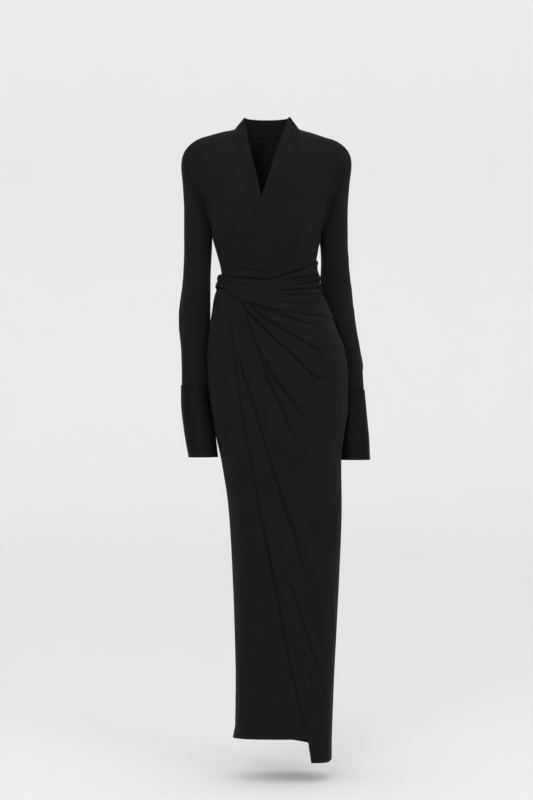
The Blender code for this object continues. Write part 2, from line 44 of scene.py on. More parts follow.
# Cloth
JERSEY = 1.5            # thickness of one layer of jersey, with its drape
CUFF_CLOTH = 2.4        # a cuff is turned back on itself
DRAPE_CLOTH = 2.0       # the waist drape is pleated
SEAM_GAP = 0.02         # between the edges of two panels
EDGE_ROUND = 0.5        # how far an edge is rounded over
LAP = 3.2               # how far the over front lies outside the under front
LAP_AT_EDGE = 0.62      # and the share of that at its free edge, which lies down on the under front
DRAPE_LIFT = 3.2        # how far the waist drape lies outside the fronts
DRAPE_SWELL = 3.7       # how far the skirt swells out just below the drape, so that it ends in a crease

PRESSED_IN = 8.0        # how far the hidden part of an under layer is pressed in by the folds on it
PRESSED_BY_DRAPE = 6.0  # and how far the waist drape presses the layers that it hides
SEAM_CALM = 14.0        # folds die away over this distance from a seam, so that both sides of it meet
NEAR_ARM_CALM = 0.85    # and this much of them is lost where the body lies close to a sleeve

# How low and how high folds may go, and how far from its free edge the over front lies at its full lift
Limits = namedtuple("Limits", "lowest highest settled")
BODICE_LIMITS, SKIRT_LIMITS = Limits(-4.0, 8.0, 22), Limits(-8.0, 14.0, 26)
SLEEVE_LOWEST, SLEEVE_HIGHEST = -3.5, 5.0
DRAPE_HIGHEST = 11.0    # above its own lift

# Heights
UNDERARM = -225.0
WAIST = -347.0          # seam of bodice and skirt, hidden under the drape
HEM_START = -1300.0     # below this, the rows of a skirt lean towards its hem
LOW_CORNER = -1461.0    # the over skirt's lowest corner
LAST_DRAWN_RISE = 81.0  # past this rise, a front's free edge runs straight to the end of its stand
FLOOR = -1508.0

# Front lines are drawn as they look from this far away, at this height
EYE_DISTANCE = 5000.0
EYE_HEIGHT = -622.75
PICTURE_HEIGHT = 1880.0     # how much of the dress's height the picture takes in
PICTURE_MIDDLE = -1.2
SENSOR = 24.0

# Colours and light
# The floor paper is painted greyer than the wall, greyest in its middle: painted shade that sets the tone of
# the lit floor
PAPER_FLOOR_SHADE, PAPER_FAR, PAPER_WALL = "#d5d5d5", "#e3e3e3", "#ebebeb"
JERSEY_DARK, JERSEY_LIGHT, JERSEY_BLOOM = "#121213", "#161618", "#8a8a8e"
CREPE_DARK, CREPE_LIGHT = "#0c0c0e", "#101012"
THREAD_BLACK = "#2e2e30"
AIR, AIR_STRENGTH = "#fcfcfc", 1.2
COVE_RADIUS, COVE_BEND = 7.5, 2.5           # in metres
COVE_SEGMENTS = 96
SOFT_BOX_SPREAD = math.radians(110)
SoftBox = namedtuple("SoftBox", "name place aim width height power")
SOFT_BOXES = (
    SoftBox("front_soft_box", (-0.6, -7.2, 1.6), (0, 0, -0.7), 6.0, 4.4, 46),
    SoftBox("left_fill", (3.2, -5.0, 0.8), (0, 0, -0.7), 2.0, 2.2, 30),
    SoftBox("right_fill", (-1.4, -6.0, 0.8), (0, 0, -0.7), 2.0, 2.2, 50),
    SoftBox("top_soft_box", (0.0, -1.0, 3.6), (0, 0, -0.7), 3.0, 3.0, 8),
)

# The form below the underarm: z, how far it reaches to the right, left, front and back, where its
# middle lies front to back, and how square it is
BODY = (
    (-1478, 82, 150, 90, 88, 0, 0.05), (-1420, 79, 151, 90, 88, 0, 0.05),
    (-1380, 73, 152, 90, 88, 0, 0.05), (-1300, 72, 155, 90, 89, 0, 0.05),
    (-1160, 75, 162, 91, 88, 0, 0.05), (-1020, 80, 169, 92, 90, 0, 0.045),
    (-880, 89, 174, 94, 94, 0, 0.04), (-764, 106, 173, 96, 100, -2, 0.03),
    (-700, 120, 180, 98, 106, -5, 0.02), (-640, 129, 188, 98, 111, -7, 0.01),
    (-570, 137, 188, 98, 115, -8, 0.005), (-505, 138, 180, 97, 115, -8, 0.005),
    (-458, 134, 162, 94, 109, -6, 0.01), (-411, 127, 143, 90, 99, -4, 0.015),
    (-375, 117, 127, 86, 89, -2, 0.02), (-345, 104, 116, 84, 79, 0, 0.02),
    (-317, 107, 113, 89, 76, 0, 0.02), (-270, 119, 119, 104, 82, 0, 0.03),
    (-240, 126.5, 125.5, 111.7, 87.5, 0, 0.05), (UNDERARM, 127, 126, 113, 88, 0, 0.05),
)

# The neck and shoulder line: each rib's angle from the centre front or centre back, and its top's x, y,
# and z on the wearer's right and left
SHOULDER = (
    (46, 77, 13, 13, 13), (53, 104, 12, 7, 5), (59, 134, 12, -1, -5), (65, 160, 12, -9, -13),
    (78, 186, 12, -27, -29), (90, 205, 12, -58, -58),
)
FRONT_TOP = (
    (0, 0, -50, 20, 20), (12, 24, -36, 30, 31), (24, 44, -8, 38, 40), (30, 51, 13, 41, 43),
    (38, 63, 13, 28, 30),
) + SHOULDER
BACK_TOP = ((0, 0, 72, 2, 2), (15, 25, 68, 3, 3), (30, 51, 50, 7, 7), (40, 70, 26, 11, 11)) + SHOULDER
STAND_ANGLE = 30        # where the front stand ends at the neck
NECK_ANGLE = 46         # side neck point
SHOULDER_ANGLE = 65     # shoulder point
STAND_UPRIGHT = 1.3     # how much steeper the ribs arrive at the front stand
NECK_UPRIGHT = 0.8      # and at the back neck

# The armhole, from the underarm up to the shoulder point: the rib's rise and its angle
ARMHOLE = ((0, 90), (8, 84), (20, 75), (35, 68), (50, 65), (70, 64), (90, SHOULDER_ANGLE))

# Free edges, drawn in the front view: z, x
UNDER_FRONT_EDGE = (
    (-370, 92), (-290, 66), (-230, 35), (-185, 8), (-143, -12), (-134, -16), (-106, -21),
    (-49, -35), (7, -47), (60, -55),
)
OVER_FRONT_EDGE = (
    (-370, -86), (-313, -78), (-298, -75), (-249, -54), (-200, -31), (-143, -12), (-77, 9),
    (-21, 27), (7, 38), (60, 56),
)
OVER_SKIRT_EDGE = (
    (-1490, 105), (-1417, 94), (-1321, 75), (-1241, 56), (-1159, 40), (-1076, 26), (-987, 9),
    (-905, -9), (-776, -33), (-623, -59), (-505, -73), (-430, -84), (-369, -95), (-330, -92),
)
UNDER_SKIRT_EDGE = 46   # angle of the hidden edge of the under skirt

# Hems: the angle round the body, z
BACK_HEM = ((90, -1463), (150, -1442), (210, -1424), (270, -1416))
OVER_HEM = ((20, -1461), (60, -1464), (90, -1463))
UNDER_HEM = ((-90, -1416), (-50, -1409), (0, -1407), (50, -1407))

# The waist drape: it widens from the knot at the wearer's right to the left side, and narrows again
# round the back.  Each row gives the angle round the body, and z of its top and bottom
DRAPE = (
    (-80, -329, -362), (-53, -335, -367), (-35, -340, -384), (-20, -344, -399), (-5, -346, -409),
    (12, -340, -418), (38, -322, -427), (60, -307, -432), (90, -295, -432), (135, -302, -418),
    (180, -311, -401), (225, -320, -383), (280, -329, -362),
)
DRAPE_START, DRAPE_SIDE, DRAPE_END = -80, 90, 280
SIDE_GATHER = 5.0       # how far it bulges at the wearer's left side
EDGE_ROLL, EDGE_DROP = 1.0, 1.6     # how far it stands up beside its top and bottom, and dips at them

# The knot: a short loop of gathered cloth over the drape's ends
KNOT_ANGLE, KNOT_Z = -78, -348
KNOT_WIDTH, KNOT_HEIGHT, KNOT_THICKNESS = 30.0, 38.0, 6.0
KNOT_LIFT = LAP + DRAPE_LIFT + DRAPE_CLOTH + 1.1
KNOT_PINCH = 0.12       # how much narrower it is drawn in at the middle
KNOT_DENT = 1.2         # and how much thinner
KNOT_OUTLINE = 2.6      # how square its outline is, where 2 is an ellipse
KNOT_GATHERS = ((-9.5, 1.1), (-4.6, 1.5), (0.6, 1.2), (5.2, 1.4), (9.6, 1.0))   # place across, and depth
GATHER_WIDTH, GATHER_LEAN = 1.3, 0.1

# Sleeves: z, how far they reach out and in from the origin, where they lie front to back, and half
# their depth
RIGHT_SLEEVE = (
    (-757, 181, 118, 0, 42), (-690, 193, 126, 12, 42), (-623, 200, 135.5, 22, 42),
    (-587, 200, 140, 26, 42), (-523, 201, 141, 28, 42), (-435, 205, 135, 22, 45),
    (-340, 197, 134.5, 16, 46), (-262, 194, 131, 14, 46), (-180, 194, 129, 12, 46),
    (-90, 199, 127.5, 12, 46),
)
LEFT_SLEEVE = (
    (-765, 242, 174, 65, 42), (-717, 240.5, 171, 74, 42), (-670, 236.5, 167, 82, 42),
    (-594, 230, 163, 90, 42), (-552, 227, 158, 91, 42), (-505, 222, 150, 88, 42),
    (-458, 213, 142, 82, 43), (-411, 204, 134, 74, 44), (-375, 200, 129, 66, 45),
    (-340, 197, 128, 58, 46), (-300, 193, 129.5, 48, 46), (-262, 190, 129.5, 38, 46),
    (-180, 189, 128.5, 20, 46), (-90, 195, 127, 12, 46),
)
CUFF_STEP = 1.0         # how far a cuff stands outside its sleeve
HEAD_MIDDLE, HEAD_SLANT = -190.0, 75.0      # the slanting end of the sleeve head
HEAD_REACH = 1.6        # how far the head carries on past the shoulder before it turns down
UNDERARM_TURN = 4.2     # room for the two layers that meet under the arm
UNDERARM_HOOK = (       # under the arm, the last rows of a sleeve turn over into its seam: share, up, out
    (0.045, 0.7, UNDERARM_TURN), (0.034, 1.7, 3.7), (0.023, 2.1, 2.2), (0.012, 1.3, 0.7), (0, 0, 0),
)

# The back part of the neck stand
BAND_X, BAND_FRONT, BAND_DEPTH, BAND_TOP = 51.0, 13.0, 45.0, 42.0
BAND_ROOM = -1.2        # the band's seam reaches this far below the back bodice's edge
BAND_TUCK = 2.0         # and inside it

# Folds.  A roll is a soft ridge along its route.  A crease is a sharp trough along its route, with a
# bank that stands up beside it: on the right of the way it runs where side is 1, and on the left
# where it is -1.  Widths are half widths.  Start and end are the shares of the route over which it
# rises and dies away.  A route is drawn in a view, which is the panel's own where none is named:
# front and back give (x, z), left and right (y, z).
Roll = namedtuple("Roll", "route height width start end view", defaults=(0.25, 0.35, None))
Crease = namedtuple("Crease", "route depth cut bank reach side start end view",
                    defaults=(1, 0.04, 0.35, None))
FAN = (0.8, 1.25)       # folds are this much narrower where they start, and wider where they end
CREASE_BOTTOM = 0.3     # how round the bottom of a crease is
DRAW_FROM = 3.0         # a panel's points are drawn to a crease from this far on each side of it
ROUTE_STEP = 2.5        # between the points of a route
SKIRT_WOBBLE, DRAPE_WOBBLE, BAND_WOBBLE, SLEEVE_WOBBLE, CUFF_WOBBLE = 1.3, 0.5, 0.4, 0.9, 0.45

OVER_SKIRT_ROLLS = (
    Roll(((-50, -409), (-10, -426), (60, -447), (112, -461)), 2.6, 7),
    Roll(((-30, -416), (20, -440), (76, -470), (116, -484)), 4.0, 11),
    Roll(((-52, -420), (-6, -480), (40, -530), (84, -560), (118, -574)), 3.0, 10),
    Roll(((-50, -446), (-12, -506), (34, -566), (90, -614), (118, -630)), 6.0, 15),
    Roll(((-58, -470), (-34, -560), (8, -672), (48, -744), (92, -806)), 6.0, 15),
    Roll(((-58, -560), (-24, -675), (38, -822), (66, -900), (103, -1010), (140, -1200)),
         7.0, 14, 0.2, 0.3),
    Roll(((-26, -860), (30, -1045), (66, -1140), (103, -1251), (140, -1380)), 6.5, 13, 0.3, 0.2),
    Roll(((61, -1046), (85, -1104), (106, -1187), (125, -1253), (146, -1328)), 3.0, 7),
    Roll(((82, -1234), (99, -1328), (115, -1410), (127, -1434)), 3.0, 8),
    Roll(((171, -830), (163, -882), (152, -940), (144, -1010), (144, -1090)), 3.0, 7),
)
OVER_SKIRT_CREASES = (
    Crease(((-94, -373), (-76, -385), (-58, -394), (-44, -399)), 6.0, 1.6, 0.8, 6, 1, 0.05, 0.1),
    Crease(((-46, -395), (-24, -405), (11, -417), (62, -435), (93, -445), (125, -452)),
           8.0, 1.7, 1.4, 7, end=0.25),
    Crease(((-42, -399), (-20, -420), (-1, -434), (26, -452), (46, -462), (70, -479), (93, -490),
            (117, -505), (144, -517)), 10.0, 1.8, 2.0, 8, 1, 0.03, 0.2),
    Crease(((-60, -392), (-44, -417), (-24, -439), (-1, -462), (19, -482), (46, -505), (77, -536),
            (97, -557), (125, -574), (154, -583)), 11.5, 1.8, 2.4, 10, 1, 0.03, 0.2),
    Crease(((-50, -432), (-21, -470), (-7, -486), (24, -512), (38, -529)), 2.0, 1.9, 0.8, 7),
    Crease(((-26, -494), (-12, -514), (15, -568), (42, -603), (62, -630), (93, -670), (109, -685)),
           9.6, 1.9, 1.6, 11, end=0.25),
    Crease(((14, -522), (45, -566), (75, -604), (89, -616)), 2.0, 2.1, 0.7, 7),
    Crease(((-50, -412), (-44, -439), (-32, -474), (-20, -505), (-5, -552), (3, -576), (30, -634),
            (42, -662), (54, -689), (77, -728), (105, -756)), 9.6, 1.8, 1.8, 12, end=0.3),
    Crease(((-66, -412), (-62, -450), (-52, -500), (-38, -548)), 2.3, 2.0, 0.8, 8),
    Crease(((-76, -490), (-63, -525), (-52, -568), (-36, -615), (-24, -654), (-12, -693), (-1, -732),
            (11, -775), (27, -822), (38, -865), (50, -901), (66, -940), (77, -987), (93, -1034),
            (108, -1080)), 9.0, 2.1, 2.4, 10, -1, 0.12, 0.2),
    Crease(((48, -1040), (68, -1095), (92, -1180), (116, -1250), (138, -1335)), 4.2, 2.3, 0.8, 8, -1),
    Crease(((70, -1100), (96, -1190), (114, -1262), (134, -1345), (142, -1400)), 2.9, 2.1, 0.5, 8),
    Crease(((146, -1064), (148, -1119), (153, -1198)), 2.3, 2.1, 1.0, 8, -1),
    Crease(((172, -836), (166, -873), (158, -928), (152, -967), (148, -1006)),
           3.0, 2.7, 1.2, 8, 1, 0.5, 0.4),
    Crease(((14, -900), (36, -990), (52, -1060)), 2.3, 2.7, 0.6, 9, -1, 0.3, 0.3),
    Crease(((60, -1060), (78, -1150), (92, -1230), (104, -1330)), 2.6, 2.9, 0.6, 10),
    Crease(((40, -1130), (58, -1230), (76, -1330), (88, -1420)), 2.0, 2.7, 0.6, 9, -1, 0.3, 0.1),
)
UNDER_SKIRT_ROLLS = (
    Roll(((-63, -1210), (-61, -1351), (-70, -1398)), 2.4, 8, 0.3, 0.1),
    Roll(((-70, -760), (-62, -900), (-56, -1100), (-48, -1260)), 3.0, 14),
    Roll(((-20, -1020), (-12, -1180), (4, -1330), (10, -1404)), 3.0, 12, 0.3, 0.1),
    Roll(((36, -1180), (40, -1300), (44, -1404)), 2.6, 10, 0.3, 0.1),
    Roll(((-118, -470), (-112, -600), (-96, -760)), 1.6, 12),
)
# The first crease on each under layer is where it gives way beside the free edge that lies on it
UNDER_SKIRT_CREASES = (
    Crease(((-87, -430), (-76, -505), (-62, -623), (-36, -776), (-12, -905), (6, -987), (23, -1076),
            (37, -1159), (53, -1241), (72, -1321), (88, -1405)), 4.2, 1.7, 0.5, 8, 1, 0.02, 0.02),
    Crease(((-112, -365), (-98, -370), (-84, -380), (-74, -388)), 5.0, 1.6, 0.8, 6, 1, 0.1, 0.1),
    Crease(((-66, -1180), (-74, -1300), (-78, -1398)), 1.8, 2.3, 0.8, 8, -1, 0.3, 0.1),
    Crease(((68, -1304), (66, -1360), (63, -1405)), 2.0, 2.0, 1.0, 7, 1, 0.3, 0.1),
    Crease(((-34, -1000), (-34, -1150), (-26, -1300), (-22, -1398)), 1.5, 2.9, 0.8, 9, -1, 0.3, 0.1),
    Crease(((-88, -520), (-92, -640), (-86, -760)), 1.2, 2.9, 0.8, 9),
)
BACK_SKIRT_ROLLS = (
    Roll(((-92, -424), (-40, -450), (40, -476), (110, -490)), 3.2, 13),
    Roll(((-98, -452), (-50, -522), (20, -584), (100, -624)), 4.6, 16),
    Roll(((-102, -520), (-64, -640), (0, -762), (70, -852), (124, -902)), 5.0, 17),
    Roll(((-76, -760), (-34, -900), (28, -1060), (88, -1200), (124, -1310)), 5.4, 17),
    Roll(((-44, -1080), (-12, -1200), (28, -1330), (52, -1404)), 4.2, 15, 0.25, 0.15),
    Roll(((96, -930), (122, -1060), (134, -1200)), 3.6, 13),
    Roll(((-72, -1100), (-66, -1260), (-58, -1390)), 2.8, 11, 0.3, 0.15),
    Roll(((96, -1240), (112, -1350), (118, -1420)), 3.2, 10, 0.3, 0.1),
)
BACK_SKIRT_CREASES = (
    Crease(((-92, -410), (-30, -432), (50, -452), (116, -462)), 3.8, 2.1, 1.2, 9, side=-1),
    Crease(((-98, -432), (-44, -482), (30, -530), (110, -560)), 4.8, 2.4, 1.8, 11, side=-1),
    Crease(((-104, -480), (-64, -572), (0, -664), (76, -732), (120, -760)), 4.5, 2.6, 1.6, 12, side=-1),
    Crease(((-100, -600), (-60, -740), (0, -884), (60, -1004), (112, -1090)), 4.8, 2.8, 1.6, 12, side=-1),
    Crease(((-62, -960), (-26, -1090), (26, -1224), (76, -1330)), 3.8, 2.6, 1.0, 10, side=-1),
    Crease(((-54, -1210), (-40, -1310), (-22, -1410)), 2.7, 2.3, 0.8, 9, end=0.15),
    Crease(((72, -1260), (88, -1350), (92, -1425)), 2.7, 2.3, 0.8, 9, end=0.15),
)
OVER_FRONT_ROLLS = (
    Roll(((-50, -290), (-15, -268), (40, -228), (88, -170)), 4.5, 14),
    Roll(((-20, -305), (20, -290), (70, -255), (104, -205)), 3.5, 12),
    Roll(((99, -73), (70, -88), (40, -100), (24, -102)), 2.0, 6),
    Roll(((-78, -326), (-50, -326), (-14, -331), (14, -334)), 3.4, 7, 0.1, 0.5),
    Roll(((16, -329), (50, -318), (84, -306), (116, -288)), 2.4, 7, 0.3, 0.2),
)
OVER_FRONT_CREASES = (
    Crease(((84, -78), (66, -92), (50, -100), (27, -118), (12, -136)), 1.8, 3.4, 1.6, 9, -1, 0.3, 0.4),
    Crease(((74, -112), (58, -128), (40, -143), (18, -170)), 2.0, 3.0, 1.6, 9, -1, 0.3, 0.4),
    Crease(((76, -204), (60, -218), (46, -230), (24, -247), (12, -262)), 2.6, 2.0, 1.4, 9, -1, 0.3, 0.3),
    Crease(((66, -236), (44, -250), (28, -264)), 1.4, 2.6, 0.9, 7, -1, 0.3, 0.3),
    Crease(((124, -200), (112, -230), (88, -270), (68, -294), (50, -307)), 3.6, 2.4, 1.8, 10, -1, 0.2, 0.3),
    Crease(((112, -248), (100, -272), (88, -294)), 2.4, 1.8, 1.0, 6, 1, 0.3, 0.3),
    Crease(((120, -238), (114, -262), (106, -290)), 2.4, 1.8, 1.0, 6, 1, 0.3, 0.3),
    Crease(((126, -140), (114, -176), (104, -206)), 1.6, 4.0, 1.2, 9, -1, 0.3, 0.3),
    Crease(((50, 18), (46, -2), (38, -22)), 2.0, 1.5, 1.2, 5, 1, 0.05, 0.6),
    Crease(((62, 20), (52, -7), (36, -34)), 2.4, 1.5, 1.2, 5, 1, 0.05, 0.6),
    Crease(((68, 10), (68, -20), (77, -54)), 2.2, 1.6, 1.2, 6, 1, 0.05, 0.6),
    Crease(((-84, -334), (-52, -336), (-5, -338.5), (19, -336), (38, -329), (59, -322), (82, -315),
            (106, -304), (122, -293)), 8.5, 1.6, 2.0, 6, -1, 0.02, 0.05),
    Crease(((-68, -311), (-61, -313), (-35, -316), (-10, -321), (9, -328)), 6.4, 1.5, 1.2, 6, -1, 0.1, 0.25),
    Crease(((-78, -318), (-50, -312), (-24, -303), (-2, -292), (20, -284)), 2.2, 2.4, 1.2, 7, -1, 0.1, 0.5),
)
UNDER_FRONT_ROLLS = (
    Roll(((-118, -96), (-116, -180), (-112, -262)), 2.4, 9),
    Roll(((-92, -250), (-96, -290), (-100, -312)), 2.0, 9),
    Roll(((-100, -60), (-74, -110), (-46, -150)), 1.4, 10),
    Roll(((-106, -325), (-94, -326), (-80, -326)), 3.2, 7, 0.1, 0.05),
)
UNDER_FRONT_CREASES = (
    Crease(((-14, -148), (-24, -172), (-34, -200), (-57, -249), (-78, -298), (-81, -313)),
           1.2, 2.2, 0.3, 8, 1, 0.1, 0.1),
    Crease(((-125, -150), (-125, -188), (-122, -233), (-118, -256)), 2.8, 1.7, 1.2, 7, 1, 0.3, 0.3),
    Crease(((-106, -180), (-107, -240), (-107, -292)), 2.2, 2.1, 1.0, 8, -1, 0.3, 0.3),
    Crease(((-117, -236), (-114, -262), (-106, -290)), 2.2, 1.7, 0.8, 6, 1, 0.3, 0.3),
    Crease(((-90, -150), (-72, -196), (-64, -240)), 1.5, 2.2, 0.8, 8, 1, 0.3, 0.4),
    Crease(((-68, 8), (-68, -10), (-69, -36)), 2.5, 1.4, 1.2, 5, 1, 0.05, 0.6),
    Crease(((-80, 4), (-78, -8), (-80, -30)), 2.0, 1.4, 1.0, 5, 1, 0.05, 0.6),
    Crease(((-112, -316), (-98, -315), (-82, -313)), 3.2, 1.6, 0.8, 6, 1, 0.1, 0.05),
)
BACK_BODICE_ROLLS = (
    Roll(((-96, -306), (-40, -286), (30, -282), (96, -296)), 3.0, 11),
    Roll(((-90, -262), (-30, -244), (40, -250)), 2.0, 11),
    Roll(((-110, -150), (-70, -176), (-20, -190)), 1.8, 11),
    Roll(((112, -150), (74, -180), (26, -196)), 1.8, 11),
    Roll(((-30, -10), (0, -22), (30, -10)), 1.2, 8),
)
BACK_BODICE_CREASES = (
    Crease(((-100, -290), (-50, -268), (10, -262), (60, -268)), 2.2, 2.2, 1.1, 8),
    Crease(((98, -276), (52, -262), (6, -250)), 1.8, 2.2, 0.9, 8, side=-1),
    Crease(((-118, -190), (-84, -212), (-40, -226)), 2.0, 2.3, 1.0, 8),
    Crease(((118, -196), (88, -216), (48, -226)), 2.0, 2.3, 1.0, 8, side=-1),
    Crease(((-124, -116), (-100, -134), (-66, -146)), 1.5, 2.3, 0.8, 8),
    Crease(((124, -120), (100, -140), (68, -150)), 1.5, 2.3, 0.8, 8, side=-1),
)
DRAPE_FRONT_ROLLS = (
    Roll(((20, -350), (60, -347), (100, -341), (134, -334)), 2.6, 4, 0.3, 0.05),
    Roll(((-56, -362), (0, -364), (60, -359), (134, -354)), 2.4, 5, 0.3, 0.05),
    Roll(((-50, -372), (0, -378), (60, -373), (134, -370)), 2.4, 5, 0.3, 0.1),
    Roll(((-46, -380), (0, -390), (60, -388), (130, -386)), 2.2, 6, 0.3, 0.1),
    Roll(((-44, -388), (0, -401), (60, -412), (130, -412)), 2.0, 6, 0.2, 0.1),
    Roll(((-100, -341), (-60, -345), (-20, -350), (20, -348)), 1.8, 5, 0.1, 0.4),
)
DRAPE_FRONT_CREASES = (
    Crease(((6, -347), (42, -339), (66, -337), (101, -333), (125, -328), (134, -325)),
           7.0, 1.5, 1.8, 5, 1, 0.3, 0.02),
    Crease(((50, -346), (74, -344), (103, -343), (122, -345), (132, -347)), 6.0, 1.4, 1.2, 4, 1, 0.3, 0.05),
    Crease(((56, -354), (92, -351), (125, -349), (136, -349)), 5.4, 1.4, 1.2, 4, 1, 0.3, 0.05),
    Crease(((-6, -366), (31, -366), (59, -366), (82, -365), (103, -363), (132, -361)),
           6.6, 1.5, 1.4, 5, 1, 0.3, 0.05),
    Crease(((16, -377), (60, -378), (89, -378), (132, -378)), 4.6, 1.5, 1.0, 5, 1, 0.3, 0.15),
    Crease(((10, -393), (54, -397), (85, -400), (120, -398)), 3.6, 1.6, 1.0, 6, 1, 0.3, 0.3),
    Crease(((-104, -351), (-80, -356), (-50, -370), (-20, -384)), 2.0, 1.4, 1.0, 4, 1, 0.05, 0.5),
    Crease(((-104, -345), (-74, -349), (-36, -358), (10, -362)), 1.8, 1.4, 0.9, 4, 1, 0.05, 0.6),
    Crease(((-104, -338), (-74, -342), (-40, -348)), 1.6, 1.4, 0.8, 3.5, 1, 0.05, 0.6),
)
DRAPE_BACK_ROLLS = (
    Roll(((130, -330), (60, -338), (-20, -346), (-90, -344)), 1.8, 7, 0.1, 0.3),
    Roll(((130, -372), (60, -368), (-20, -362), (-90, -352)), 1.8, 8, 0.1, 0.3),
    Roll(((130, -410), (60, -398), (-20, -380), (-90, -360)), 1.8, 8, 0.1, 0.3),
)
DRAPE_BACK_CREASES = (
    Crease(((-100, -337), (-60, -338), (0, -334), (60, -326)), 1.5, 1.4, 1.0, 5, 1, 0.05, 0.5),
    Crease(((-100, -345), (-50, -352), (20, -354), (90, -352)), 1.6, 1.4, 1.0, 5, 1, 0.05, 0.5),
    Crease(((-100, -353), (-50, -366), (20, -380), (90, -388)), 1.6, 1.5, 1.0, 5, 1, 0.05, 0.5),
    Crease(((134, -344), (90, -346), (40, -340)), 1.2, 1.5, 0.8, 5, 1, 0.1, 0.5),
)
LEFT_SLEEVE_ROLLS = (
    Roll(((157, -395), (188, -470), (214, -540), (223, -576)), 2.4, 8),
    Roll(((148, -435), (172, -505), (186, -557)), 1.6, 6),
    Roll(((176, -120), (168, -190), (166, -260)), 2.0, 11),
    Roll(((60, -330), (78, -400), (96, -470)), 2.4, 10, view="left"),
    Roll(((116, -470), (98, -520), (84, -570)), 2.2, 9, view="left"),
    Roll(((186, -330), (176, -400), (182, -470)), 2.0, 9, view="back"),
    Roll(((200, -470), (206, -530), (208, -580)), 2.0, 8, view="back"),
)
LEFT_SLEEVE_CREASES = (
    Crease(((150, -411), (174, -477), (188, -505), (195, -540), (197, -576)),
           3.8, 2.0, 1.4, 8, -1, 0.25, 0.15),
    Crease(((195, -529), (202, -552), (209, -576)), 2.5, 1.6, 0.8, 5, -1, 0.3, 0.2),
    Crease(((158, -84), (154, -118), (151, -150), (150, -186), (152, -226)), 1.8, 2.6, 1.2, 9, -1, 0.3, 0.4),
    Crease(((178, -392), (170, -408), (158, -420)), 1.5, 1.7, 0.9, 6, 1, 0.3, 0.3),
    Crease(((54, -372), (78, -404), (104, -424)), 1.8, 1.9, 1.0, 6, 1, 0.3, 0.3, "left"),
    Crease(((120, -500), (100, -540), (76, -566)), 1.8, 1.9, 1.0, 6, 1, 0.3, 0.3, "left"),
    Crease(((64, -250), (44, -290), (30, -340)), 1.5, 2.1, 0.9, 7, 1, 0.3, 0.3, "left"),
    Crease(((188, -400), (172, -430), (166, -466)), 2.0, 2.0, 1.1, 7, 1, 0.3, 0.3, "back"),
    Crease(((210, -440), (192, -476), (186, -520)), 1.8, 2.0, 1.0, 7, -1, 0.3, 0.3, "back"),
)
RIGHT_SLEEVE_ROLLS = (
    Roll(((-178, -110), (-170, -190), (-170, -270)), 2.0, 11),
    Roll(((-186, -330), (-172, -400), (-170, -470)), 1.8, 10),
    Roll(((-178, -500), (-172, -550), (-176, -582)), 1.6, 8),
    Roll(((30, -350), (20, -430), (34, -500)), 2.2, 10, view="right"),
    Roll(((-176, -360), (-168, -430), (-176, -500)), 2.0, 9, view="back"),
)
RIGHT_SLEEVE_CREASES = (
    Crease(((-188, -566), (-174, -571), (-154, -567)), 1.0, 1.5, 0.8, 5, 1, 0.3, 0.3),
    Crease(((-153, -96), (-151, -167), (-142, -210), (-135, -236)), 2.8, 1.9, 1.2, 8, 1, 0.3, 0.3),
    Crease(((-186, -402), (-176, -414), (-160, -420)), 1.0, 1.9, 0.6, 6, 1, 0.5, 0.3),
    Crease(((-186, -438), (-176, -444), (-158, -440)), 0.8, 1.9, 0.5, 6, 1, 0.5, 0.3),
    Crease(((34, -406), (48, -418), (62, -418)), 1.0, 2.2, 0.6, 6, 1, 0.5, 0.3, "right"),
    Crease(((34, -446), (48, -456), (62, -450)), 1.0, 2.2, 0.6, 6, 1, 0.5, 0.3, "right"),
    Crease(((-14, -330), (10, -356), (24, -392)), 1.4, 2.0, 0.8, 7, 1, 0.3, 0.3, "right"),
    Crease(((-184, -412), (-174, -430), (-160, -440)), 1.4, 2.0, 0.9, 7, 1, 0.3, 0.3, "back"),
    Crease(((-184, -540), (-172, -560), (-158, -566)), 1.2, 1.7, 0.8, 6, 1, 0.3, 0.3, "back"),
)
LEFT_CUFF_CREASES = (
    Crease(((188, -642), (187, -682), (184, -705), (188, -724), (192, -740)), 1.8, 1.5, 0.9, 6, -1, 0.2, 0.3),
    Crease(((226, -610), (232, -640), (236, -672)), 1.0, 2.3, 0.5, 8, 1, 0.3, 0.4),
)
RIGHT_CUFF_CREASES = (
    Crease(((-190, -604), (-184, -640), (-180, -680)), 1.0, 2.3, 0.5, 8, 1, 0.3, 0.4),
)

# The two sleeves with their cuffs.  The last two numbers are how full a sleeve is on its inner side,
# under the arm and above the cuff
Sleeve = namedtuple("Sleeve", "word side sections cuff_top cuff_bottom rolls creases cuff_creases seed"
                              " under_arm above_cuff")
SLEEVES = (
    Sleeve("right", -1, RIGHT_SLEEVE, -587.0, -757.0, RIGHT_SLEEVE_ROLLS, RIGHT_SLEEVE_CREASES,
           RIGHT_CUFF_CREASES, 10, 1.4, 1.6),
    Sleeve("left", 1, LEFT_SLEEVE, -597.0, -765.0, LEFT_SLEEVE_ROLLS, LEFT_SLEEVE_CREASES,
           LEFT_CUFF_CREASES, 12, 4.6, 0.0),
)

# Sewing
SEAM_DIP, SEAM_HALF_WIDTH = 0.7, 1.6        # how far a seam pulls the cloth in
SKIRT_HEM, SKIRT_HEM_RIDGE = 22.0, 0.3      # depth of the turned hem, and how thick it stands
EDGE_TURNING = 9.0                          # free edges are turned in and left soft
STITCH_ROW = 6.0        # a row of stitches this far above a cuff's edge
STITCH_LENGTH, STITCH_PITCH, THREAD = 2.5, 3.3, 0.36
STITCH_RINGS, STITCH_SIDES = 5, 6

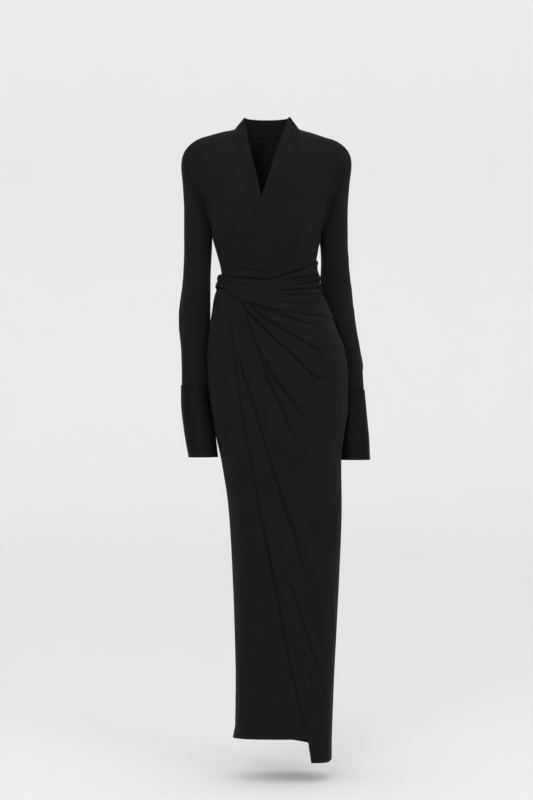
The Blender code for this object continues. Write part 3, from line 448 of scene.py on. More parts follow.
# How finely the panels are divided
NEAR_EDGE = (0.0, 1.2, 2.6, 4.6)            # rows and columns beside an edge
OVER_SKIRT_COLUMN, SKIRT_COLUMN = 2.5, 3.6
OVER_SKIRT_ROWS = ((-1300, 5.2), (-850, 4.4), (-640, 2.6), (-540, 1.9))
SKIRT_ROWS = ((-800, 6.0), (-600, 4.0), (-430, 3.0))
BODICE_COLUMN, BACK_BODICE_COLUMN = 2.4, 3.6
BODICE_ROWS = ((-110, 2.2), (-60, 2.2))     # from the underarm down
FRONT_RIB_STEP, BACK_RIB_STEP = 0.8, 1.4    # and above it, in degrees
SLEEVE_COLUMNS, SLEEVE_ROWS, HEAD_ROWS = 68, 110, 18
SLEEVE_NEAR_CUFF = (0.0, 0.0028, 0.006, 0.01)   # rows above the cuff, as shares of the tube
CUFF_COLUMNS, CUFF_ROWS = 84, ((-760, 3.0), (-590, 3.0))
DRAPE_STEP_ROUND, DRAPE_STEP_UP = 2.2, 1.5      # in degrees, and in millimetres
DRAPE_NEAR_EDGE = (0.0, 0.012, 0.026, 0.042)    # rows beside an edge, as shares of its width
BAND_COLUMNS, BAND_ROWS = 64, 12
KNOT_RINGS, KNOT_SEGMENTS = 90, 110
RIM_SHARES = (0.16, 0.5, 0.84)                  # where the points that round an edge lie across it
RIM_STEP = 0.4                                  # and how far apart they are on the cut


def bridge(share, start, leaving, end, arriving):
    """A smooth way from one point to another, given how it leaves and how it arrives."""
    return ((1 + 2 * share) * (1 - share) ** 2 * start + share * (1 - share) ** 2 * leaving
            + share ** 2 * (3 - 2 * share) * end - share ** 2 * (1 - share) * arriving)


def curve_through(table):
    """A smooth curve through a table's rows by their first column, which never overshoots them."""
    rows = np.array(sorted(table), float)
    at, values = rows[:, 0], rows[:, 1:]
    step = np.diff(at)[:, None]
    slope = np.diff(values, axis=0) / step
    before, after = slope[:-1], slope[1:]
    turns = before * after <= 0
    middle = 2 * before * after / np.where(turns, 1, before + after)
    tangent = np.concatenate([slope[:1], np.where(turns, 0, middle), slope[-1:]])

    def value(x):
        x = np.clip(np.asarray(x, float), at[0], at[-1])
        i = np.clip(np.searchsorted(at, x, side="right") - 1, 0, len(at) - 2)
        share = ((x - at[i]) / step[i, 0])[..., None]
        return bridge(share, values[i], step[i] * tangent[i], values[i + 1], step[i] * tangent[i + 1])
    return value


def fade(x, start, end):
    """0 at start and before it, 1 at end and after it, with a soft change between."""
    t = np.clip((np.asarray(x, float) - start) / (end - start), 0, 1)
    return t * t * (3 - 2 * t)


def unit(vectors):
    return vectors / np.linalg.norm(vectors, axis=-1, keepdims=True)


def bell(x, half_width):
    return np.exp(-(x / half_width) ** 2)


def landed(height, floor, ceiling, softness=0.35):
    """Heights kept between a floor and a ceiling, with a soft landing on both."""
    above = floor + softness * np.logaddexp(0, (height - floor) / softness)
    return ceiling - softness * np.logaddexp(0, (ceiling - above) / softness)


def run_along(line):
    """How far each point of a line lies along it."""
    return np.concatenate([[0], np.cumsum(np.linalg.norm(np.diff(line, axis=0), axis=1))])


def closed(rings):
    """A grid of rings, with its first column once more at the end."""
    return np.concatenate([rings, rings[:, :1]], axis=1)


def corners(grid):
    """The four corners of each cell of a grid, in turn: of vertex numbers, or of places."""
    cells = np.stack([grid[:-1, :-1], grid[:-1, 1:], grid[1:, 1:], grid[1:, :-1]], 2)
    return cells.reshape(-1, 4, *grid.shape[2:])


def facing_in(cells):
    """Cells of corners, gone round the other way from the same first corner."""
    return cells[:, [0, 3, 2, 1]]


BODY_AT = curve_through(BODY)
FRONT_TOP_AT = curve_through(FRONT_TOP)
BACK_TOP_AT = curve_through(BACK_TOP)
ARMHOLE_AT = curve_through(ARMHOLE)
DRAPE_AT = curve_through(DRAPE)
BACK_HEM_AT = curve_through(BACK_HEM)
OVER_HEM_AT = curve_through(OVER_HEM)
UNDER_HEM_AT = curve_through(UNDER_HEM)


def from_front(angle):
    """An angle round the body as -180 to 180 degrees, with 0 at the centre front."""
    return (np.asarray(angle, float) + 180) % 360 - 180


def from_middle(angle):
    """How many degrees an angle lies from the centre front or the centre back, whichever is nearer."""
    return 90 - np.abs(90 - np.abs(from_front(angle)))


def body(angle, z):
    """The form below the underarm.  Angle 0 is the centre front and 90 the wearer's left side."""
    turn = np.radians(angle)
    right, left, front, back, middle, square = np.moveaxis(BODY_AT(z), -1, 0)
    across = (np.sin(turn) + square * np.sin(3 * turn)) / (1 - square)
    along = (np.cos(turn) - square * np.cos(3 * turn)) / (1 - square)
    x = (left - right) / 2 + (left + right) / 2 * across
    y = middle - np.where(along > 0, front, back) * along
    return np.stack([x, y, np.broadcast_to(z, x.shape)], -1)


def shoulders(angle, rise):
    """The form above the underarm: a rib at each angle, risen by 0 to 90 degrees."""
    turn = from_front(angle)
    behind = np.abs(turn) > 90
    away = from_middle(angle)
    top = np.where(behind[..., None], BACK_TOP_AT(away), FRONT_TOP_AT(away))
    top_x = top[..., 0] * np.sign(turn)
    top_z = np.where(turn < 0, top[..., 2], top[..., 3])
    foot = body(angle, np.full(angle.shape, UNDERARM))
    power = 1 + fade(-away, -50, -30) * np.where(behind, NECK_UPRIGHT, STAND_UPRIGHT)
    up = np.sin(np.radians(rise))
    lean = np.clip(np.cos(np.radians(rise)), 0, 1) ** power
    x = foot[..., 0] + (top_x - foot[..., 0]) * up
    y = top[..., 1] + (foot[..., 1] - top[..., 1]) * lean
    return np.stack([x, y, UNDERARM + (top_z - UNDERARM) * up], -1)


def form(angle, level):
    """A point of the form: level is millimetres below the underarm, or degrees of rise above it."""
    angle, level = np.broadcast_arrays(np.asarray(angle, float), np.asarray(level, float))
    below = body(angle, UNDERARM + np.minimum(level, 0))
    above = shoulders(angle, np.clip(level, 0, 90))
    return np.where((level < 0)[..., None], below, above)


def form_normal(angle, level):
    """The unit normal of the form, from its slopes both ways."""
    angle, level = np.asarray(angle, float), np.clip(level, -1400, 88.5)
    along_angle = form(angle + 0.5, level) - form(angle - 0.5, level)
    along_level = form(angle, level + 0.5) - form(angle, level - 0.5)
    return unit(np.cross(along_angle, along_level))


def seen(point):
    """Where a point appears in the front view, as (x, z)."""
    nearer = EYE_DISTANCE / (EYE_DISTANCE + point[..., 1])
    return np.stack([point[..., 0] * nearer, EYE_HEIGHT + (point[..., 2] - EYE_HEIGHT) * nearer], -1)


def angle_of_edge(edge, level):
    """The angle at which a free edge, drawn in the front view, crosses each level of the form."""
    edge_x = curve_through(edge)
    low, high = np.full(level.shape, -89.0), np.full(level.shape, 89.0)
    for _ in range(40):
        middle = (low + high) / 2
        x, z = np.moveaxis(seen(form(middle, level)), -1, 0)
        short = x < edge_x(z)[..., 0]
        low, high = np.where(short, middle, low), np.where(short, high, middle)
    return (low + high) / 2


def lap(angle, level):
    """How far the over front is lifted off the form, to clear the under front."""
    turn = from_front(angle)
    return LAP * fade(-turn, -72, -54) * fade(turn, -135, -95) * fade(-level, -60, -20)


# A panel on the form: its grid of points in rows from the bottom up, the normals there, and the
# angles and levels that they stand at.  The rows of a tube are closed rings.  Its folds are drawn in
# its own view, unless they name another.
Panel = namedtuple("Panel", "points normals angle level tube view", defaults=(None, None, False, "front"))

View = namedtuple("View", "look facing")
VIEWS = {
    "front": View(seen, (0, -1, 0)),
    "back": View(lambda points: points[..., [0, 2]], (0, 1, 0)),
    "left": View(lambda points: points[..., [1, 2]], (1, 0, 0)),
    "right": View(lambda points: points[..., [1, 2]], (-1, 0, 0)),
}


def fold_line(panel, fold):
    """A fold's route laid on a panel: evenly spaced points, and the panel's normals there."""
    route = np.array(fold.route, float)
    run = run_along(route)
    marks = np.linspace(0, run[-1], int(run[-1] / ROUTE_STEP) + 2)
    drawn = curve_through(np.column_stack([run, route]).tolist())(marks)
    look, facing = VIEWS[fold.view or panel.view]
    shows = panel.normals @ np.array(facing, float) > 0
    points, normals = panel.points[shows], panel.normals[shows]
    flat = look(points)
    line, line_normals = [], []
    for mark in drawn:
        gap = ((flat - mark) ** 2).sum(axis=1)
        near = np.argpartition(gap, 4)[:5]
        weight = 1 / (gap[near] + 0.5)
        line.append(weight @ points[near] / weight.sum())
        line_normals.append(weight @ normals[near] / weight.sum())
    line, line_normals = np.array(line), unit(np.array(line_normals))
    for _ in range(3):
        line[1:-1] = (line[:-2] + 2 * line[1:-1] + line[2:]) / 4
    return line, line_normals


def beside(panel, fold, widest):
    """Where a fold reaches on a panel: a mask, how far each point lies to the right of the fold's
    line, which way that is, how wide the fold is there, and how much of it has risen."""
    line, normals = fold_line(panel, fold)
    run = run_along(line)
    forward = unit(np.gradient(line, axis=0))
    right = unit(np.cross(forward, normals))
    margin = 3 * widest * max(FAN)
    inside = ((panel.points > line.min(axis=0) - margin)
              & (panel.points < line.max(axis=0) + margin)).all(axis=-1)
    points = panel.points[inside]
    gaps = (points ** 2).sum(axis=1)[:, None] + (line ** 2).sum(axis=1) - 2 * points @ line.T
    at = gaps.argmin(axis=1)
    offset = points - line[at]
    share = (run[at] + (offset * forward[at]).sum(axis=1)) / run[-1]
    risen = fade(share, 0, fold.start) * fade(-share, -1, fold.end - 1)
    facing = (panel.normals[inside] * normals[at]).sum(axis=1) > 0.2
    wide = FAN[0] + (FAN[1] - FAN[0]) * np.clip(share, 0, 1)
    return inside, (offset * right[at]).sum(axis=1), right[at], wide, risen * facing


def border_weight(panel, room):
    """0 on the panel's borders and 1 from this far inside them."""
    borders = ("bottom", "top") if panel.tube else ("bottom", "top", "start", "end")
    weight = np.ones(panel.points.shape[:-1])
    for border in borders:
        weight = weight * fade(border_distance(panel.points, border), 0, room)
    return weight


def drawn_to_creases(panel, creases):
    """The panel with its points drawn towards the bottoms of its creases, so that they come out
    sharp."""
    points = panel.points.copy()
    free = border_weight(panel, 4)
    for crease in creases:
        inside, aside, rightward, _, risen = beside(panel, crease, DRAW_FROM)
        share = np.clip(np.abs(aside) / DRAW_FROM, 0, 1)
        moved = aside * (share - 1) * fade(risen, 0, 0.2) * free[inside]
        points[inside] += rightward * moved[:, None]
    return panel._replace(points=points)


def folded(panel, rolls, creases):
    """The height that a panel's rolls and creases give to each of its points."""
    height = np.zeros(panel.points.shape[:-1])
    for roll in rolls:
        inside, aside, _, wide, risen = beside(panel, roll, roll.width)
        height[inside] += risen * roll.height * bell(aside, roll.width * wide)
    for crease in creases:
        inside, aside, _, wide, risen = beside(panel, crease, 1.6 * crease.cut + crease.reach)
        aside, cut, reach = aside * crease.side, crease.cut * wide, crease.reach * wide
        top = 2.2 * cut
        bank = np.where(aside < top, bell(aside - top, 0.7 * top), bell(aside - top, reach))
        trough = np.exp((CREASE_BOTTOM - np.hypot(aside, CREASE_BOTTOM)) / cut)
        height[inside] += risen * (crease.bank * bank - crease.depth * trough)
    return height


def wobble(panel, seed, tall=2.6):
    """The slight unevenness of hanging jersey: long soft waves, with small ones on them."""
    points = (panel.points * (1, 1, 1 / tall)).reshape(-1, 3)
    shift = Vector((seed * 7.3, seed * 3.1, seed * 5.7))
    wave = [0.55 * noise.noise(Vector(p) / 38 + shift) + 0.16 * noise.noise(Vector(p) / 13 + shift)
            for p in points]
    return np.array(wave).reshape(panel.points.shape[:-1])


def border_distance(points, border):
    """How far each point of a grid lies from its start or end column, or its bottom or top row."""
    axis = 1 if border in ("start", "end") else 0
    steps = np.linalg.norm(np.diff(points, axis=axis), axis=-1)
    run = np.cumsum(np.insert(steps, 0, 0, axis=axis), axis=axis)
    return run if border in ("start", "bottom") else np.take(run, [-1], axis=axis) - run


def seam_dip(panel, *borders):
    """How far the seams along the given borders pull the cloth in."""
    return -SEAM_DIP * sum(bell(border_distance(panel.points, border), SEAM_HALF_WIDTH)
                           for border in borders)


def seam_calm(panel, *borders):
    """0 on the seams along the given borders, and 1 away from them."""
    return np.prod([fade(border_distance(panel.points, border), 0, SEAM_CALM) for border in borders],
                   axis=0)


def turned_edge(panel, border, depth=EDGE_TURNING, height=0.25):
    """A turned-in edge, which stands a little thicker up to its line of hidden stitches."""
    away = border_distance(panel.points, border)
    return height * fade(-away, -depth, 0.8 - depth) - 0.8 * height * bell(away - depth - 0.6, 1.1)


def row_widths(start, end, levels):
    """The length of each row of a panel."""
    angles = start[:, None] + (end - start)[:, None] * np.linspace(0, 1, 40)
    points = form(angles, levels[:, None])
    return np.linalg.norm(np.diff(points, axis=1), axis=-1).sum(axis=1)


def spaced_rows(low, high, steps):
    """Heights from low to high, closer together beside both ends.  Steps gives a step at each height."""
    at, sizes = zip(*steps)
    near = np.array(NEAR_EDGE)
    rows = [low + near[-1]]
    while rows[-1] < high - near[-1]:
        rows.append(rows[-1] + np.interp(rows[-1], at, sizes))
    fit = (high - low - 2 * near[-1]) / (rows[-1] - rows[0])
    middle = rows[0] + (np.array(rows[1:-1]) - rows[0]) * fit
    return np.concatenate([low + near, middle, high - near[::-1]])


def spaced_columns(start, end, levels, step):
    """Angles from start to end at each level, closer together beside both ends."""
    start = np.broadcast_to(np.asarray(start, float), levels.shape)
    end = np.broadcast_to(np.asarray(end, float), levels.shape)
    width = row_widths(start, end, levels)
    near = np.array(NEAR_EDGE) / width[:, None]
    count = int(np.ceil(width.max() / step))
    middle = near[:, -1:] + (1 - 2 * near[:, -1:]) * np.linspace(0, 1, count)[1:-1]
    share = np.concatenate([near, middle, 1 - near[:, ::-1]], axis=1)
    return start[:, None] + (end - start)[:, None] * share


def grid_normals(points, tube=False):
    """Unit normals of a grid of points, from the rows and columns beside each one."""
    if tube:
        along_row = np.roll(points, -1, axis=1) - np.roll(points, 1, axis=1)
    else:
        along_row = np.gradient(points, axis=1)
    return unit(np.cross(along_row, np.gradient(points, axis=0)))


def trimmed(points, by, tube):
    """A panel's grid with its edges drawn in; a tube has only its two end rows drawn in."""
    points = points.copy()
    if not tube:
        points[:, 0] += unit(points[:, 1] - points[:, 0]) * by
        points[:, -1] += unit(points[:, -2] - points[:, -1]) * by
    points[0] += unit(points[1] - points[0]) * by
    points[-1] += unit(points[-2] - points[-1]) * by
    return points


def border_loops(index, tube):
    """The rows and columns round a grid of vertex numbers, as closed loops."""
    if tube:
        return [index[0], index[-1][::-1]]
    return [np.concatenate([index[0, :-1], index[:-1, -1], index[-1, :0:-1], index[:0:-1, 0]])]


def add_piece(name, mesh, material, *nodes):
    """A piece of the dress, which stands for the CAD nodes that it is given."""
    mesh.materials.append(material)
    mesh.shade_smooth()
    piece = bpy.data.objects.new(name, mesh)
    bpy.context.scene.collection.objects.link(piece)
    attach(piece, BODY_NAME)
    if nodes:
        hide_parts(*nodes)
    return piece


def place_on_cut(points):
    """Where each point of a grid lies on its piece's cut, across and up, in metres."""
    across, up = (border_distance(points, border) for border in ("start", "bottom"))
    return np.stack([across, up], -1) * METRES


def add_cloth(node, panel, height, thickness, material):
    """A wall of cloth that lies height above its panel, with rounded edges.

    Its UV map gives the place on the cut in metres, so that the knit runs with the cloth."""
    low = panel.points + panel.normals * height[..., None]
    high = panel.points + panel.normals * (height + thickness)[..., None]
    inner, outer, near_inner, near_outer = (
        trimmed(grid, by, panel.tube).reshape(-1, 3)
        for by in (SEAM_GAP / 2 + EDGE_ROUND, SEAM_GAP / 2) for grid in (low, high))
    size = height.size
    index = np.arange(size).reshape(height.shape)
    quads = corners(closed(index) if panel.tube else index)
    place = place_on_cut(closed(low) if panel.tube else low)
    quad_places = corners(place)
    points = [inner, outer]
    faces = [quads[:, ::-1], quads + size]
    places = [quad_places[:, ::-1], quad_places]
    flat_place = place[:, :index.shape[1]].reshape(-1, 2)
    count = 2 * size
    for loop in border_loops(index, panel.tube):
        rings = [loop]
        for share in RIM_SHARES:
            inside = inner[loop] * (1 - share) + outer[loop] * share
            proud = near_inner[loop] * (1 - share) + near_outer[loop] * share
            points.append(inside + (proud - inside) * np.sqrt(1 - (2 * share - 1) ** 2))
            rings.append(np.arange(count, count + len(loop)))
            count += len(loop)
        rings.append(loop + size)
        for number, (first, second) in enumerate(zip(rings[:-1], rings[1:])):
            faces.append(np.stack([first, np.roll(first, -1), np.roll(second, -1), second], -1))
            here = flat_place[loop] + number * RIM_STEP * METRES
            there = here + RIM_STEP * METRES
            places.append(np.stack([here, np.roll(here, -1, axis=0), np.roll(there, -1, axis=0), there], 1))
    mesh = bpy.data.meshes.new(node)
    mesh.from_pydata(np.concatenate(points) * METRES, [], np.concatenate(faces))
    mesh.uv_layers.new(name="cut").data.foreach_set("uv", np.concatenate(places).ravel())
    return add_piece(node + "_cloth", mesh, material, node)


def add_node(tree, kind, inputs=(), label=None, **settings):
    """One shader node: its settings, and its inputs as values or as sockets to link from."""
    node = tree.nodes.new(kind)
    for name, value in settings.items():
        setattr(node, name, value)
    for name, value in dict(inputs).items():
        if isinstance(value, bpy.types.NodeSocket):
            tree.links.new(value, node.inputs[name])
        else:
            node.inputs[name].default_value = value
    if label:
        node.label = label
    return node


def linear(code):
    """The linear colour of an sRGB hex code."""
    parts = [int(code[i:i + 2], 16) / 255 for i in (1, 3, 5)]
    return (*(p / 12.92 if p <= 0.04045 else ((p + 0.055) / 1.055) ** 2.4 for p in parts), 1)


def new_material(name):
    material = bpy.data.materials.new(name)
    material.use_nodes = True
    tree = material.node_tree
    tree.nodes.clear()
    return material, tree


def viscose_jersey():
    """Matt black viscose jersey, single knit and piece dyed.  It gives a deep soft black with hardly
    any shine, fine upright ribs of knit on its face, and a faint lighter bloom where the fibres stand
    off the folds."""
    material, tree = new_material("black_viscose_jersey")
    place = add_node(tree, "ShaderNodeUVMap", uv_map="cut").outputs["UV"]
    where = add_node(tree, "ShaderNodeTexCoord").outputs["Object"]
    axes = add_node(tree, "ShaderNodeSeparateXYZ", {"Vector": place})
    # The real ribs are 0.8 mm apart, with loops 0.6 mm tall, which is too fine to show: they are
    # drawn at twice that
    rib = add_node(tree, "ShaderNodeMath", {0: axes.outputs["X"], 1: 1 / (1.6 * METRES)},
                   operation="MULTIPLY")
    across = add_node(tree, "ShaderNodeMath", {0: rib.outputs[0], 1: 0.5}, operation="PINGPONG")
    loop = add_node(tree, "ShaderNodeMath",
                    {0: axes.outputs["Y"], 1: 1 / (1.2 * METRES), 2: across.outputs[0]},
                    operation="MULTIPLY_ADD")
    turn = add_node(tree, "ShaderNodeMath", {0: loop.outputs[0], 1: 2 * math.pi}, operation="MULTIPLY")
    wave = add_node(tree, "ShaderNodeMath", {0: turn.outputs[0]}, operation="SINE")
    middle = add_node(tree, "ShaderNodeMath", {0: across.outputs[0], 1: -0.25}, operation="ADD")
    leg = add_node(tree, "ShaderNodeMath", {0: middle.outputs[0], 1: middle.outputs[0]}, operation="MULTIPLY")
    stitch = add_node(tree, "ShaderNodeMath", {0: leg.outputs[0], 1: -12.0, 2: wave.outputs[0]},
                      operation="MULTIPLY_ADD", label="loops of knit")
    knit = add_node(tree, "ShaderNodeBump", {"Strength": 0.22, "Distance": 0.12 * METRES,
                                             "Height": stitch.outputs[0]}, label="knit")
    # The yarn is uneven over a few millimetres, and the dye over some centimetres
    slub = add_node(tree, "ShaderNodeTexNoise", {"Vector": place, "Scale": 1 / (4 * METRES), "Detail": 3.0,
                                                 "Roughness": 0.6})
    relief = add_node(tree, "ShaderNodeBump", {"Strength": 0.3, "Distance": 0.2 * METRES,
                                               "Height": slub.outputs[0], "Normal": knit.outputs[0]},
                      label="uneven yarn")
    cloud = add_node(tree, "ShaderNodeTexNoise", {"Vector": where, "Scale": 1 / (60 * METRES), "Detail": 4.0,
                                                  "Roughness": 0.55})
    dye = add_node(tree, "ShaderNodeMix", {"Factor": cloud.outputs[0], 6: linear(JERSEY_DARK),
                                           7: linear(JERSEY_LIGHT)}, data_type="RGBA", label="dye")
    matt = add_node(tree, "ShaderNodeMapRange", {"Value": slub.outputs[0], "To Min": 0.72, "To Max": 0.84},
                    label="matt face")
    shader = add_node(tree, "ShaderNodeBsdfPrincipled",
                      {"Base Color": dye.outputs[2], "Roughness": matt.outputs[0], "IOR": 1.5,
                       "Diffuse Roughness": 1.0, "Specular IOR Level": 0.045, "Sheen Weight": 0.01,
                       "Sheen Roughness": 0.5, "Sheen Tint": linear(JERSEY_BLOOM),
                       "Normal": relief.outputs[0]})
    add_node(tree, "ShaderNodeOutputMaterial", {"Surface": shader.outputs[0]})
    return material


def satin_back_crepe():
    """Black satin-back crepe for the cuffs, woven from twisted filament yarn.  It gives a smoother,
    deeper black than the jersey, with a faint soft shine down the arm and a fine pebbled grain."""
    material, tree = new_material("black_satin_back_crepe")
    place = add_node(tree, "ShaderNodeUVMap", uv_map="cut").outputs["UV"]
    where = add_node(tree, "ShaderNodeTexCoord").outputs["Object"]
    # The real grain is 0.4 mm, drawn at 1 mm
    pebble = add_node(tree, "ShaderNodeTexVoronoi", {"Vector": place, "Scale": 1 / (1.0 * METRES)},
                      feature="SMOOTH_F1")
    grain = add_node(tree, "ShaderNodeBump", {"Strength": 0.18, "Distance": 0.1 * METRES,
                                              "Height": pebble.outputs[0]}, label="crepe grain")
    slub = add_node(tree, "ShaderNodeTexNoise", {"Vector": where, "Scale": 1 / (9 * METRES), "Detail": 3.0})
    relief = add_node(tree, "ShaderNodeBump", {"Strength": 0.2, "Distance": 0.25 * METRES,
                                               "Height": slub.outputs[0], "Normal": grain.outputs[0]})
    dye = add_node(tree, "ShaderNodeMix", {"Factor": slub.outputs[0], 6: linear(CREPE_DARK),
                                           7: linear(CREPE_LIGHT)}, data_type="RGBA", label="dye")
    satin = add_node(tree, "ShaderNodeMapRange", {"Value": slub.outputs[0], "To Min": 0.56, "To Max": 0.64})
    shader = add_node(tree, "ShaderNodeBsdfPrincipled",
                      {"Base Color": dye.outputs[2], "Roughness": satin.outputs[0], "IOR": 1.5,
                       "Specular IOR Level": 0.035, "Normal": relief.outputs[0]})
    add_node(tree, "ShaderNodeOutputMaterial", {"Surface": shader.outputs[0]})
    return material


def polyester_thread():
    """Black spun polyester sewing thread.  It catches a little more light than the cloth, so that a
    row of stitches shows as a fine pale line."""
    material, tree = new_material("black_polyester_thread")
    where = add_node(tree, "ShaderNodeTexCoord").outputs["Object"]
    # Two plies, twisted once in 0.6 mm
    ply = add_node(tree, "ShaderNodeTexWave",
                   {"Vector": where, "Scale": 1 / (0.6 * METRES), "Distortion": 1.0},
                   bands_direction="DIAGONAL")
    twist = add_node(tree, "ShaderNodeBump", {"Strength": 0.3, "Distance": 0.05 * METRES,
                                              "Height": ply.outputs[1]}, label="twist")
    shader = add_node(tree, "ShaderNodeBsdfPrincipled",
                      {"Base Color": linear(THREAD_BLACK), "Roughness": 0.5, "Specular IOR Level": 0.5,
                       "Normal": twist.outputs[0]})
    add_node(tree, "ShaderNodeOutputMaterial", {"Surface": shader.outputs[0]})
    return material


def studio_paper():
    """Matt white background paper, which gives a pale ground with soft shadows, and painted shade that makes
    its floor a little greyer than its wall.
    """
    material, tree = new_material("white_background_paper")
    where = add_node(tree, "ShaderNodeTexCoord").outputs["Object"]
    height = add_node(tree, "ShaderNodeSeparateXYZ", {"Vector": where})
    # Painted shade: the floor is painted a little greyer than the wall, most in its middle, to set its tone
    # under the lights
    away = add_node(tree, "ShaderNodeVectorMath", {0: where}, operation="LENGTH")
    outward = add_node(tree, "ShaderNodeMapRange", {"Value": away.outputs["Value"], "From Min": 2.0,
                                                    "From Max": COVE_RADIUS})
    ground = add_node(tree, "ShaderNodeMix", {"Factor": outward.outputs[0], 6: linear(PAPER_FLOOR_SHADE),
                                              7: linear(PAPER_FAR)}, data_type="RGBA", label="floor")
    wall = add_node(tree, "ShaderNodeMapRange", {"Value": height.outputs["Z"], "From Min": FLOOR * METRES,
                                                 "From Max": FLOOR * METRES + 1.5 * COVE_BEND})
    tone = add_node(tree, "ShaderNodeMix", {"Factor": wall.outputs[0], 6: ground.outputs[2],
                                            7: linear(PAPER_WALL)}, data_type="RGBA", label="paper")
    fibre = add_node(tree, "ShaderNodeTexNoise", {"Vector": where, "Scale": 1 / (3 * METRES), "Detail": 2.0})
    grain = add_node(tree, "ShaderNodeBump", {"Strength": 0.05, "Distance": 0.1 * METRES,
                                              "Height": fibre.outputs[0]})
    shader = add_node(tree, "ShaderNodeBsdfPrincipled",
                      {"Base Color": tone.outputs[2], "Roughness": 0.9, "Specular IOR Level": 0.1,
                       "Normal": grain.outputs[0]})
    add_node(tree, "ShaderNodeOutputMaterial", {"Surface": shader.outputs[0]})
    return material


def arm_calm(angle, z):
    """How much of its folds the body keeps: all of them away from the sleeves, and few beside them."""
    turn = np.abs(np.abs(from_front(angle)) - 90)
    return 1 - NEAR_ARM_CALM * fade(-turn, -32, -16) * fade(z, -800, -640)


def bodice_levels(step):
    """The rows of a bodice: down to the waist seam, and up the ribs by this many degrees at a time."""
    below = spaced_rows(WAIST - UNDERARM, 0, BODICE_ROWS)[:-1]
    return np.concatenate([below, np.arange(0, 88.5, step), [89.0, 89.6, 90.0]])


def bodice_outer(levels):
    """The angle of a bodice's side seam and armhole at each level."""
    return np.where(levels > 0, ARMHOLE_AT(levels)[..., 0], 90)


def bodice_panel(start, end, levels, column, neck_end, view="front"):
    """The grid of a bodice panel.  Its normals stand upright where the front and the back meet along
    the shoulder, which is past the end of the neck."""
    angles = spaced_columns(start, end, levels, column)
    heights = np.broadcast_to(levels[:, None], angles.shape)
    normals = form_normal(angles, heights)
    normals[..., 1] *= 1 - fade(heights, 84, 90) * fade(from_middle(angles), *neck_end)
    return Panel(form(angles, heights), unit(normals), angles, heights, view=view)


def front_bodice(edge, side):
    """The grid of one front bodice, from its free edge to its side seam and armhole."""
    levels = bodice_levels(FRONT_RIB_STEP)
    free = angle_of_edge(edge, levels)
    top = levels > LAST_DRAWN_RISE
    last = free[~top][-1]
    free[top] = last + (STAND_ANGLE * side - last) * (levels[top] - LAST_DRAWN_RISE) / (90 - LAST_DRAWN_RISE)
    outer = bodice_outer(levels) * side
    start, end = (free, outer) if side > 0 else (outer, free)
    return bodice_panel(start, end, levels, BODICE_COLUMN, (STAND_ANGLE - 6, STAND_ANGLE))


def top_seam(panel, start, end):
    """The part of a bodice's top row that is a seam: 1 past the given angle, and 0 at the neck."""
    return fade(from_middle(panel.angle), start, end)


def add_bodice(jersey):
    levels = bodice_levels(BACK_RIB_STEP)
    outer = bodice_outer(levels)
    back = bodice_panel(180 - outer, 180 + outer, levels, BACK_BODICE_COLUMN, (NECK_ANGLE - 4, NECK_ANGLE),
                        view="back")
    for node, panel, rolls, creases, free, seams, seed in (
            ("front_left_bodice", front_bodice(OVER_FRONT_EDGE, 1),
             OVER_FRONT_ROLLS, OVER_FRONT_CREASES, "start", ("end",), 1),
            ("front_right_bodice", front_bodice(UNDER_FRONT_EDGE, -1),
             UNDER_FRONT_ROLLS, UNDER_FRONT_CREASES, "end", ("start",), 2),
            ("back_bodice", back, BACK_BODICE_ROLLS, BACK_BODICE_CREASES, None, ("start", "end"), 3)):
        panel = drawn_to_creases(panel, creases)
        z = panel.points[..., 2]
        height = folded(panel, rolls, creases) + wobble(panel, seed)
        calm = 1 - (1 - arm_calm(panel.angle, z)) * fade(-z, 90, 170)
        drape_top = drape_edges(panel.angle)[0]
        calm = calm * fade(z, drape_top - 3.5, drape_top + 0.5) * seam_calm(panel, *seams)
        height = height * calm * (1 - top_seam(panel, 26, 30) * (1 - seam_calm(panel, "top")))
        height = layered(panel, height, free, OVER_FRONT_EDGE, BODICE_LIMITS, fade(-panel.level, -80, -60))
        if free:
            height = height + turned_edge(panel, free)
        height = height + seam_dip(panel, *seams) + seam_dip(panel, "top") * top_seam(panel, 42, 47)
        add_cloth(node, panel, height, JERSEY, jersey)


def layered(panel, height, free, over_edge, limits, lapped=1.0):
    """A panel's folds, laid in its layer: the over front has its free edge at its start, the under
    front at its end, and the back has none.  The waist drape presses them all in."""
    floor, ceiling, base = limits.lowest, limits.highest, 0.0
    if free == "start":
        away = border_distance(panel.points, free)
        base = lap(panel.angle, panel.level) * (1 - (1 - LAP_AT_EDGE) * fade(-away, -limits.settled, -2))
        floor = over_floor(base, away, floor)
    if free == "end":
        over_angle = angle_of_edge(over_edge, panel.level[:, 0])[:, None]
        ceiling, base = under_limits(panel, over_angle, ceiling, lapped)
    return landed(base + height, floor, ceiling) - PRESSED_BY_DRAPE * under_drape(panel)


def over_floor(base, away, lowest):
    """How low an over layer may dip: onto the hidden part of the under layer, which is pressed in."""
    on_under = JERSEY + 0.4 - PRESSED_IN * fade(away, 3, 16)
    lapped = fade(base, 0.2, 1.2)
    return np.minimum(on_under, base) * lapped + lowest * (1 - lapped)


def under_limits(panel, over_angle, highest, lapped):
    """How high an under layer may rise, and how far it is pressed in where the over layer hides it."""
    covered = fade(panel.angle, over_angle - 3, over_angle - 0.5) * lapped
    hidden = fade(panel.angle, over_angle + 0.3, over_angle + 5) * lapped
    return highest - covered * (highest - 0.3) - PRESSED_IN * hidden, -PRESSED_IN * hidden


def drape_edges(angle):
    """The heights of the waist drape's top and bottom at an angle round the body."""
    turn = angle % 360
    return np.moveaxis(DRAPE_AT(turn - 360 * (turn > DRAPE_END)), -1, 0)


def under_drape(panel):
    """How far inside the waist drape's edges a layer lies hidden: 0 at an edge of the drape or beyond."""
    top, bottom = drape_edges(panel.angle)
    z = UNDERARM + panel.level
    return fade(np.minimum(top - z, z - bottom), 3, 9)


